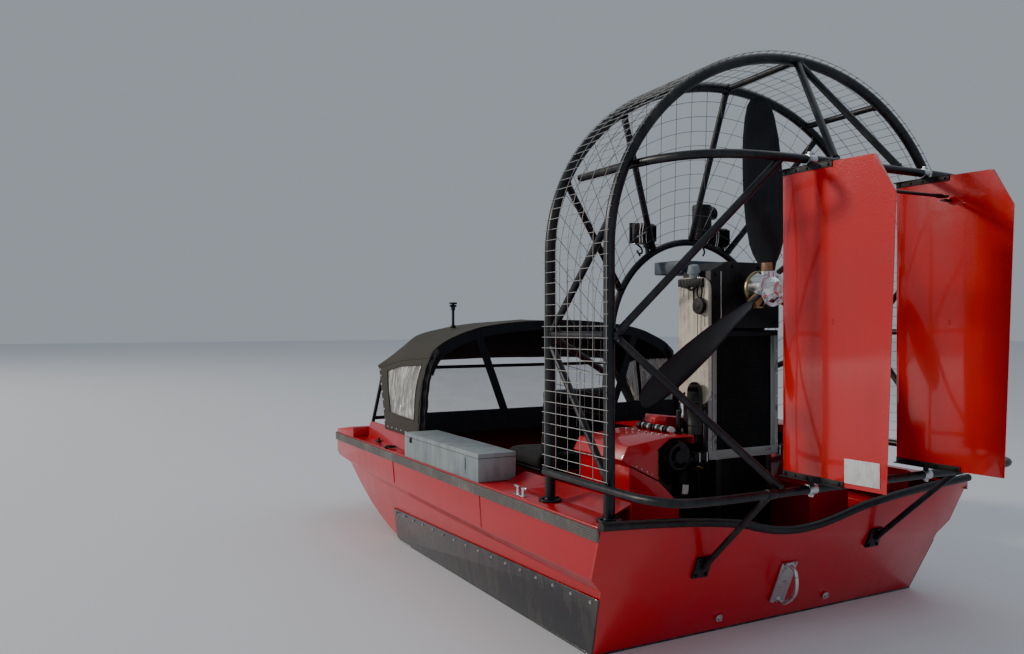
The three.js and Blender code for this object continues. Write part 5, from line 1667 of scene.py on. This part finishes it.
LIGHT_WIRES = [
    [(-0.362, 0.586, 1.925), (-0.368, 0.580, 1.97), (-0.358, 0.583, 2.02), (-0.362, 0.60, 2.042)],
    [(-0.345, 0.586, 1.925), (-0.351, 0.580, 1.97), (-0.341, 0.583, 2.02), (-0.345, 0.60, 2.042)],
    [(-0.318, 0.586, 1.925), (-0.324, 0.580, 1.97), (-0.314, 0.583, 2.02), (-0.318, 0.60, 2.042)],
    [(-0.378, 0.588, 1.955), (-0.34, 0.578, 1.975), (-0.30, 0.584, 2.0)],
    [(0.168, 0.586, 1.922), (0.174, 0.58, 1.96), (0.180, 0.584, 2.01)],
    [(0.182, 0.586, 1.922), (0.188, 0.58, 1.96), (0.194, 0.584, 2.01)],
]
BLACK_WIRES = [
    [(-0.375, 0.60, 1.99), (-0.40, 0.59, 1.955), (-0.385, 0.59, 1.92), (-0.352, 0.588, 1.895),
     (-0.345, 0.59, 1.87), (-0.362, 0.594, 1.865), (-0.37, 0.6, 1.88), (-0.35, 0.6, 1.852)],
    [(0.092, 0.585, 1.965), (0.07, 0.58, 1.93), (0.085, 0.58, 1.89), (0.078, 0.585, 1.865)],
]
wires = bmesh.new()
light = bmesh.new()
for route in LIGHT_WIRES:
    add_hose(light, route, 0.0028)
for route in BLACK_WIRES:
    add_hose(wires, route, 0.005, 10)
finished("lamp_wires_black", wires, "hose_rubber")
finished("lamp_wires_light", light, "plate_white")

bm = bmesh.new()
foot, top = at(0.092, 0.61, 1.962), at(0.092, 0.61, 2.158)
add_rod(bm, foot, top, 0.0545, sides=44, bevel=0.009)
add_rod(bm, foot + UP * 0.022, foot + UP * 0.03, 0.0558, sides=44, bevel=0.001)
add_rod(bm, top - UP * 0.03, top - UP * 0.022, 0.0558, sides=44, bevel=0.001)
add_rod(bm, on_inner_arch(0.092) + UP * 0.012, foot + UP * 0.002, 0.012, sides=18)
add_rod(bm, at(0.125, 0.612, 2.105), at(0.178, 0.618, 2.118), 0.016, sides=24, end_radius=0.04, bevel=0.002)
finished("horn_body", bm, "part_black", replaces=["horn"])
print("lamps and horn placed")

# %% [markdown]
# The canopy is one curved sheet over two bent tubes. Three arches carry its shape: the rear edge, the
# middle tube and the front edge, each from the hem over the shoulder to the middle of the roof. A point
# on it is found by how far forward it lies and how far up from the hem.

# %% Canopy surface
ARCHES = [
    # x, y, z from the hem to the middle of the roof
    [(1.078, 2.000, 0.736), (1.070, 2.000, 0.900), (1.055, 2.000, 1.083), (1.007, 2.000, 1.244),
     (0.920, 2.000, 1.345), (0.700, 2.000, 1.438), (0.410, 2.000, 1.485), (0.0, 2.000, 1.505)],
    [(1.077, 2.310, 0.736), (1.064, 2.370, 0.900), (1.048, 2.430, 1.060), (1.020, 2.440, 1.220),
     (0.940, 2.440, 1.378), (0.720, 2.430, 1.448), (0.410, 2.430, 1.486), (0.0, 2.430, 1.508)],
    [(1.076, 2.610, 0.736), (1.052, 2.720, 0.900), (1.038, 2.800, 1.020), (1.030, 2.850, 1.140),
     (1.003, 2.885, 1.180), (0.720, 2.890, 1.200), (0.410, 2.893, 1.206), (0.0, 2.895, 1.210)],
]
ROOF = 7
WINDOW = {
    # how far forward, how far up from the hem, at each corner
    "aft_low": (0.0997, 0.680), "front_low": (0.789, 0.732),
    "front_high": (0.792, 2.770), "aft_high": (0.080, 2.788),
}


def canopy_arch(points, up):
    """A smooth line through an arch's points, mirrored at the middle of the roof."""
    points = [Vector(p) for p in points]
    line = [2 * points[0] - points[1], *points, Vector((-points[-2].x, points[-2].y, points[-2].z))]
    start = min(int(up), ROOF - 1)
    return on_curve(*line[start:start + 4], up - start)


def on_canopy(side, along, up, depth=0.0):
    """A point on the sheet, or depth under it, with its sag between the tubes and its small creases."""
    def plain(u, v):
        rear, middle, front = (canopy_arch(arch, min(max(v, 0.0), ROOF)) for arch in ARCHES)
        return rear.lerp(middle, 2 * u) if u < 0.5 else middle.lerp(front, 2 * u - 1)
    place = plain(along, up)
    ahead = plain(min(along + 0.01, 1.0), up) - plain(max(along - 0.01, 0.0), up)
    higher = plain(along, min(up + 0.02, ROOF)) - plain(along, max(up - 0.02, 0.0))
    out = higher.cross(ahead).normalized()
    if out.dot(place - Vector((0, place.y, 0.8))) < 0:
        out.negate()
    bay = math.sin(2 * math.pi * (along % 0.5))
    roof_share = min(1.0, max(0.0, (up - 3.2) / 1.5))
    sag = 0.010 * bay * roof_share
    crease = 0.0055 * noise.noise(Vector((place.x * 3.0 * side, place.y * 2.2, place.z * 2.6 + 4.0 * side)))
    crease += 0.0022 * noise.noise(Vector((place.x * 9.0, place.y * 4.0, place.z * 9.0 + 7.0 * side)))
    place = place + out * (crease - sag - depth)
    return at(side * place.x, place.y, place.z)


def share(a, b, t):
    """The value a share t of the way from a to b."""
    return a + (b - a) * t


def window_level(edge, along):
    """How far up the window's low or high edge lies."""
    (u0, v0), (u1, v1) = WINDOW["aft_" + edge], WINDOW["front_" + edge]
    return share(v0, v1, (along - u0) / (u1 - u0))


def window_end(edge, up):
    """How far forward the window's aft or front edge lies."""
    (u0, v0), (u1, v1) = WINDOW[edge + "_low"], WINDOW[edge + "_high"]
    return share(u0, u1, min(1.0, max(0.0, (up - v0) / (v1 - v0))))


ROWS = {"hem": 3, "window": 10, "roof": 22}
COLUMNS = {"aft": 3, "rear_bay": 9, "front_bay": 7, "front": 6}


def row_height(row, along):
    """How far up a row of the grid lies: the window's edges are rows of their own."""
    low, high = (window_level(edge, along) for edge in ("low", "high"))
    if row <= ROWS["hem"]:
        return share(0, low, row / ROWS["hem"])
    row -= ROWS["hem"]
    if row <= ROWS["window"]:
        return share(low, high, row / ROWS["window"])
    return share(high, ROOF, (row - ROWS["window"]) / ROWS["roof"])


def column_place(column, up):
    """How far forward a column lies: the window's ends and the middle tube have columns of their own."""
    stops = [0.0, window_end("aft", up), 0.5, window_end("front", up), 1.0]
    for start, end, count in zip(stops, stops[1:], COLUMNS.values()):
        if column <= count:
            return share(start, end, column / count)
        column -= count
    return 1.0


HALF_ROWS = sum(ROWS.values())
ALL_COLUMNS = sum(COLUMNS.values())
WINDOW_ROWS = range(ROWS["hem"], ROWS["hem"] + ROWS["window"])
WINDOW_COLUMNS = range(COLUMNS["aft"], ALL_COLUMNS - COLUMNS["front"])


def grid_place(row, column):
    """How far forward and how far up a crossing of the grid lies."""
    up = row_height(row, 0.5)
    for _ in range(3):
        along = column_place(column, up)
        up = row_height(row, along)
    return along, up


def cloth_map(mesh):
    """A UV map in metres for a sheet: across the boat or up, and along it."""
    layer = mesh.uv_layers.new(name="cloth")
    for polygon in mesh.polygons:
        steep = abs(polygon.normal.x) > 0.7
        for loop in polygon.loop_indices:
            place = mesh.vertices[mesh.loops[loop].vertex_index].co
            layer.data[loop].uv = (place.z if steep else place.x, place.y + (0 if steep else 3))


bm = bmesh.new()
lines = []
for row in range(2 * HALF_ROWS + 1):
    side = 1 if row <= HALF_ROWS else -1
    lower = row if row <= HALF_ROWS else 2 * HALF_ROWS - row
    lines.append([bm.verts.new(on_canopy(side, *grid_place(lower, c))) for c in range(ALL_COLUMNS + 1)])
for row in range(2 * HALF_ROWS):
    lower = row if row < HALF_ROWS else 2 * HALF_ROWS - 1 - row
    for column in range(ALL_COLUMNS):
        if lower in WINDOW_ROWS and column in WINDOW_COLUMNS:
            continue
        near, far = lines[row], lines[row + 1]
        bm.faces.new((near[column], far[column], far[column + 1], near[column + 1]))
for vert in [v for v in bm.verts if not v.link_faces]:
    bm.verts.remove(vert)
bmesh.ops.recalc_face_normals(bm, faces=bm.faces)
if sum(face.normal.z for face in bm.faces) < 0:
    bmesh.ops.reverse_faces(bm, faces=bm.faces)
cut_area = sum(face.calc_area() for face in bm.faces)
bmesh.ops.solidify(bm, geom=bm.faces[:], thickness=0.004)
for face in bm.faces:
    middle = face.calc_center_median()
    face.material_index = int(face.normal.dot(middle - Vector((0, middle.y, 0.8))) < 0)
canopy = finished("canopy_sheet", bm, ["canvas_olive", "canvas_black"], replaces=["canopy"], sharp=60)
cloth_map(canopy.data)
print("canopy sheet of", round(cut_area, 3), "square metres in", len(canopy.data.polygons), "faces")

# %% [markdown]
# The side windows are clear vinyl, sewn in behind the canvas. They have been rolled up so often that
# upright folds run through them.

# %% Canopy windows
WINDOW_GRID = {"along": 90, "up": 30, "lap": 0.018}


def build_window(name, side):
    """One window: a folded clear sheet that laps a little behind the canvas."""
    bm = bmesh.new()
    lap = WINDOW_GRID["lap"]
    lines = []
    for i in range(WINDOW_GRID["up"] + 1):
        t = share(-lap, 1 + lap, i / WINDOW_GRID["up"])
        line = []
        for k in range(WINDOW_GRID["along"] + 1):
            s = share(-lap, 1 + lap, k / WINDOW_GRID["along"])
            up = share(window_level("low", 0.45), window_level("high", 0.45), t)
            along = share(window_end("aft", up), window_end("front", up), s)
            up = share(window_level("low", along), window_level("high", along), t)
            edge = max(0.0, min(s, 1 - s, t, 1 - t))
            free = min(1.0, edge * 9)
            fold = math.sin(s * 31 + 2.5 * noise.noise(Vector((s * 4, t * 1.5, side))))
            fold += 0.7 * noise.noise(Vector((s * 26, t * 2.5, 3.0 + side)))
            line.append(on_canopy(side, along, up, depth=0.0052 - 0.0035 * fold * free))
        lines.append(line)
    add_sheet(bm, lines)
    bmesh.ops.recalc_face_normals(bm, faces=bm.faces)
    area = sum(face.calc_area() for face in bm.faces)
    bmesh.ops.solidify(bm, geom=bm.faces[:], thickness=0.0008)
    piece = finished(f"canopy_window_{name}_sheet", bm, "window_sheet", replaces=[f"canopy_window_{name}"],
                     sharp=80)
    return piece, area


windows = {name: build_window(name, side) for name, side in SIDES.items()}
print("windows of", [round(area, 3) for _, area in windows.values()])

# %% [markdown]
# Sewn and fixed on the sheet are a hem all round each window, the roof's seam above it, a row of studs
# down the front edge and along the hem, and the rear flap, which is rolled up against the rear edge.

# %% Seams, studs and flap


def canopy_line(side, stops, lift, steps=24):
    """A line over the sheet between stops, each how far forward and how far up, lifted off it."""
    line = []
    for (u0, v0), (u1, v1) in zip(stops, stops[1:]):
        line += [on_canopy(side, share(u0, u1, i / steps), share(v0, v1, i / steps), -lift)
                 for i in range(steps)]
    return [*line, on_canopy(side, *stops[-1], -lift)]


ROOF_SEAM = [(0.004, 3.12), (0.5, 3.02), (0.86, 3.12), (0.996, 3.35)]
HEM_SEAM = [(0.004, 0.06), (0.5, 0.06), (0.996, 0.06)]
STUDS = [(0.975, up, 0.0085) for up in (0.35, 0.8, 1.25, 1.7, 2.15, 2.6, 3.0)]
STUDS += [(0.06 + 0.14 * i, 0.14, 0.006) for i in range(7)]
FLAP_TUBES = [
    # radius, inset, back
    (0.021, 0.034, 0.010),
    (0.015, 0.014, 0.004),
]
PIPING = {"radius": 0.0032, "lines": [(0.030, 0.0295), (0.002, 0.012)]}
roll = [canopy_arch(ARCHES[0], 0.05 + 0.15 * i) for i in range(24)]
swell = [0.004 * math.sin(i * 1.7) for i in range(24)]


def flap_line(side, inset, back):
    """A line along the rolled flap, which swells and shrinks a little."""
    return [at(side * (p.x - inset - s), p.y - back + s, p.z) for p, s in zip(roll, swell)]


seams = bmesh.new()
piping = bmesh.new()
flap = bmesh.new()
studs = bmesh.new()
for name, side in SIDES.items():
    corners = [WINDOW[key] for key in ("aft_low", "front_low", "front_high", "aft_high")]
    add_pipes(seams, [canopy_line(side, [*corners, corners[0]], 0.0005)[:-1]], 0.0035, closed=True)
    add_pipes(seams, [canopy_line(side, ROOF_SEAM, 0.0005)], 0.0032)
    add_pipes(seams, [canopy_line(side, HEM_SEAM, 0.0005)], 0.003)
    for along, up, size in STUDS:
        place = on_canopy(side, along, up)
        add_rivet(studs, place, place - on_canopy(side, along, up, 0.01), size)
    for radius, inset, back in FLAP_TUBES:
        add_pipes(flap, [flap_line(side, inset, back)], radius, sides=12)
    for inset, back in PIPING["lines"]:
        add_pipes(piping, [flap_line(side, inset, back)], PIPING["radius"])
seam_piece = finished("canopy_seams", seams, "canvas_olive")
flap_piece = finished("canopy_rolled_flaps", flap, "canvas_black")
piping_piece = finished("canopy_piping", piping, "piping_olive")
stud_piece = finished("canopy_studs", studs, "polished")
for piece in (seam_piece, flap_piece):
    cloth_map(piece.data)
print("canopy seams, studs and flaps placed")

# %% [markdown]
# Behind the canopy hangs a black curtain: a low panel, two slanted straps up to the arch, and the band
# that it buttons to. Small ripples keep it from looking like a board.

# %% Rear curtain
CURTAIN = {"aft": 1.9915, "thick": 0.0025, "half": 1.062, "low": 0.762, "high": 0.904}


def add_cloth_strip(bm, left, right, steps, across, ripple):
    """A strip of cloth between two lines of points, as many steps long, rippled fore and aft."""
    rows = []
    for i in range(steps + 1):
        a, b = left[0].lerp(left[1], i / steps), right[0].lerp(right[1], i / steps)
        row = []
        for k in range(across + 1):
            p = a.lerp(b, k / across)
            wave = noise.noise(Vector((p.x * 9, 0, p.z * 7)))
            wave += 0.5 * noise.noise(Vector((p.x * 23, 2, p.z * 11)))
            row.append(p + FORWARD * ripple * wave)
        rows.append(row)
    add_sheet(bm, rows)


BAND_DEEP = {"edge": (0.004, 0.006), "inner": (0.05, 0.062)}
bm = bmesh.new()
aft, low, high, half = (CURTAIN[key] for key in ("aft", "low", "high", "half"))
add_cloth_strip(bm, (at(-half, aft, low), at(half, aft, low)), (at(-half, aft, high), at(half, aft, high)),
                110, 8, 0.0026)
for side in BOTH:
    add_cloth_strip(bm, (at(side * 0.42, aft, 0.89), at(side * 0.632, aft, 1.446)),
                    (at(side * 0.48, aft, 0.89), at(side * 0.688, aft, 1.436)), 34, 4, 0.002)
upper = [canopy_arch(ARCHES[0], min(2.7 + 0.2 * i, ROOF)) for i in range(23)]
for side in BOTH:
    for p, q in zip(upper, upper[1:]):
        (edge, edge_drop), (inner, inner_drop) = BAND_DEEP.values()
        corners = [(p.x - edge, p.z - edge_drop), (q.x - edge, q.z - edge_drop),
                   (max(0.0, q.x - inner), q.z - inner_drop), (max(0.0, p.x - inner), p.z - inner_drop)]
        bm.faces.new([bm.verts.new(at(side * x, aft, z)) for x, z in corners])
bmesh.ops.remove_doubles(bm, verts=bm.verts, dist=1e-5)
bmesh.ops.recalc_face_normals(bm, faces=bm.faces)
curtain_area = sum(face.calc_area() for face in bm.faces)
bmesh.ops.solidify(bm, geom=bm.faces[:], thickness=CURTAIN["thick"])
curtain = finished("rear_curtain_sheet", bm, "canvas_black", replaces=["rear_curtain"], sharp=60)
cloth_map(curtain.data)
print("curtain of", round(curtain_area, 3), "square metres")

# %% [markdown]
# The tubes under the sheet, the windscreen's frame and the short mast on the roof are all round bars.

# %% Bows, windscreen and mast
BOW_INSET = [1.0, 1.0, 1.0, 1.0, 0.8, 0.0, 0.0, 0.0]
BOW_DROP = [0.0, 0.0, 0.0, 0.0, 0.7, 1.0, 1.0, 1.0]
for name, arch, y, depth in (("rear", ARCHES[0], 2.020, 0.0385), ("middle", ARCHES[1], 2.432, 0.0425)):
    points = [Vector((x - inset * depth, 0, z - drop * depth)) for (x, _, z), inset, drop
              in zip(arch, BOW_INSET, BOW_DROP)]
    points[0] = Vector((1.032, 0, 0.6455))
    half_line = [*points[:-1], Vector((0, 0, points[-1].z))]
    route = [at(-p.x, y, p.z) for p in half_line] + [at(p.x, y, p.z) for p in half_line[-2::-1]]
    bm = bmesh.new()
    add_pipes(bm, [through(route, steps=6)], 0.0125, sides=16)
    finished_tube(f"canopy_bow_{name}", bm)


def on_screen(side, up):
    """A point on the windscreen's side bar."""
    return at(side * share(1.030, 0.985, up), share(2.975, 2.880, up), share(0.775, 1.145, up))


bm = bmesh.new()
for side in BOTH:
    add_rod(bm, on_screen(side, -0.158), on_screen(side, 1.03), 0.013, sides=18, bevel=0.002)
for up in (0.0, 1.0):
    add_rod(bm, on_screen(-1, up), on_screen(1, up), 0.0128, sides=18)
finished("windshield_frame_bars", bm, "tube_black", replaces=["windshield_frame"])

MAST_FOOT = at(-0.69, 2.30, 1.448)
NECK = MAST_FOOT + UP * 0.155
bm = bmesh.new()
add_rod(bm, MAST_FOOT, MAST_FOOT + UP * 0.15, 0.0095, sides=16)
add_rod(bm, MAST_FOOT, MAST_FOOT + UP * 0.022, 0.018, sides=18, bevel=0.003)
add_rod(bm, MAST_FOOT + UP * 0.125, MAST_FOOT + UP * 0.15, 0.015, sides=16, bevel=0.002)
add_rod_across(bm, NECK, 0.024, 0.0075, sides=12, bevel=0.001)
add_rod(bm, NECK - UP * 0.005, NECK + UP * 0.015, 0.010, sides=14)
add_block(bm, NECK + UP * 0.018, (0.0235, 0.018, 0.0065), 0.003)
finished("roof_mast_and_clamps", bm, "tube_black", replaces=["roof_mast"])
print("bows, windscreen and mast placed")

# %% [markdown]
# The driver's seat is two pads on a pedestal. Each pad starts as a rounded block and is blown up a little
# as cloth, so that its faces crown between the seams.

# %% Driver's seat
SEAT = {"x": -0.43, "half": 0.24, "edge": 0.028}
CLOTH_FRAMES = 20
CLOTH_PRESSURE = 4.0
MOST_MOVE = 0.012


def evaluated_mesh(piece):
    """A piece's mesh with its modifiers applied; the modifiers go."""
    graph = bpy.context.evaluated_depsgraph_get()
    mesh = bpy.data.meshes.new_from_object(piece.evaluated_get(graph))
    piece.modifiers.clear()
    return mesh


def pad(name, low, high, lean):
    """A padded block, crowned by a short cloth simulation with a capped movement."""
    bm = bmesh.new()
    add_box(bm, low, high, SEAT["edge"], Matrix.Rotation(lean, 3, "X"))
    piece = finished(name, bm, "seat_vinyl", replaces=["driver_seat"], sharp=180)
    remesh = piece.modifiers.new("remesh", "REMESH")
    remesh.mode = "VOXEL"
    remesh.voxel_size = 0.009
    remesh.use_smooth_shade = True
    mesh = evaluated_mesh(piece)
    piece.data = mesh
    step = piece.modifiers.new("cloth", "CLOTH")
    step.settings.use_pressure = True
    step.settings.uniform_pressure_force = CLOTH_PRESSURE
    step.settings.effector_weights.gravity = 0.0
    step.point_cache.frame_start = 1
    step.point_cache.frame_end = CLOTH_FRAMES
    for number in range(1, CLOTH_FRAMES + 1):
        scene.frame_set(number)
    puffed = evaluated_mesh(piece)
    for vert, after in zip(mesh.vertices, puffed.vertices):
        move = after.co - vert.co
        vert.co += move.normalized() * min(move.length, MOST_MOVE)
    bpy.data.meshes.remove(puffed)
    scene.frame_set(1)
    cloth_map(mesh)
    return piece


left, right = SEAT["x"] - SEAT["half"] + 0.012, SEAT["x"] + SEAT["half"] - 0.012
pad("seat_cushion", at(left, 1.175, 0.632), at(right, 1.588, 0.708), lean=math.radians(1.5))
pad("seat_back", at(left, 1.100, 0.712), at(right, 1.170, 1.108), lean=math.radians(5))
bm = bmesh.new()
add_box(bm, at(left, 1.16, 0.612), at(right, 1.59, 0.632), 0.006)
add_rod(bm, at(SEAT["x"], 1.35, 0.13), at(SEAT["x"], 1.35, 0.615), 0.045, sides=28)
add_box(bm, at(SEAT["x"] - 0.08, 1.2, 0.1225), at(SEAT["x"] + 0.08, 1.5, 0.134), 0.003)
for side in BOTH:
    add_block(bm, at(SEAT["x"] + side * 0.15, 1.15, 0.68), (0.02, 0.03, 0.06), 0.004)
finished("seat_base", bm, "tube_black", replaces=["driver_seat"])
print("seat made")

# %% [markdown]
# The grey locker keeps its plate, with a seam below its lid, a latch on its port face and a damp streak.

# %% Locker
LOCKER = {"outer": -1.2, "inner": -0.972, "aft": 0.872, "front": 1.92, "lid": 0.772}
SEAM_OUT = 0.0004
bm = bmesh.new()
outer, inner = LOCKER["outer"] - SEAM_OUT, LOCKER["inner"] + SEAM_OUT
back, front = LOCKER["aft"] - SEAM_OUT, LOCKER["front"] + SEAM_OUT
ring = [at(x, y, LOCKER["lid"]) for x, y in ((outer, back), (outer, front), (inner, front), (inner, back))]
add_pipes(bm, [ring], 0.0013, sides=6, closed=True)
finished("locker_lid_seam", bm, "trim_rubber")
bm = bmesh.new()
add_box(bm, at(LOCKER["outer"] - 0.007, 1.80, 0.742), at(LOCKER["outer"] - 0.0003, 1.822, 0.778), 0.002)
add_box(bm, at(LOCKER["outer"] - 0.011, 1.806, 0.748), at(LOCKER["outer"] - 0.0065, 1.816, 0.766), 0.001)
finished("locker_latch", bm, "part_black")
STREAKS = [(1.020, 0.768, 0.700), (1.027, 0.755, 0.672), (1.033, 0.764, 0.690)]
bm = bmesh.new()
for y, top, low in STREAKS:
    corners = at(LOCKER["outer"] - 0.0006, y - 0.003, low), at(LOCKER["outer"] - 0.0001, y + 0.003, top)
    add_box(bm, *corners, 0.0002)
finished("locker_damp_streaks", bm, "steel_grey")
print("locker detailed")

# %% [markdown]
# The boat stands on a plain pale floor, which isn't part of it. The last lines print the size of the bare
# model and of the dressed one, so that the two can be compared.

# %% Floor, sizes and finish
FLOOR_HALF = 60.0
floor_mesh = bmesh.new()
bmesh.ops.create_grid(floor_mesh, x_segments=1, y_segments=1, size=FLOOR_HALF)
floor_data = bpy.data.meshes.new("studio_floor")
floor_mesh.to_mesh(floor_data)
floor_mesh.free()
floor_material = bpy.data.materials.new("studio_floor")
floor_material.use_nodes = True
floor_shader = floor_material.node_tree.nodes["Principled BSDF"]
floor_shader.inputs["Base Color"].default_value = (0.78, 0.8, 0.83, 1)
floor_shader.inputs["Roughness"].default_value = 0.85
floor_data.materials.append(floor_material)
studio_floor = bpy.data.objects.new("studio_floor", floor_data)
scene.collection.objects.link(studio_floor)
studio_floor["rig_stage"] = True

dressed_low, dressed_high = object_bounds()
growth = [round(1000 * (a - b), 1) for a, b in zip([*cad_low, *dressed_high], [*dressed_low, *cad_high])]
print("the dressed boat stands proud of the solids by", growth, "mm (low x y z, high x y z)")
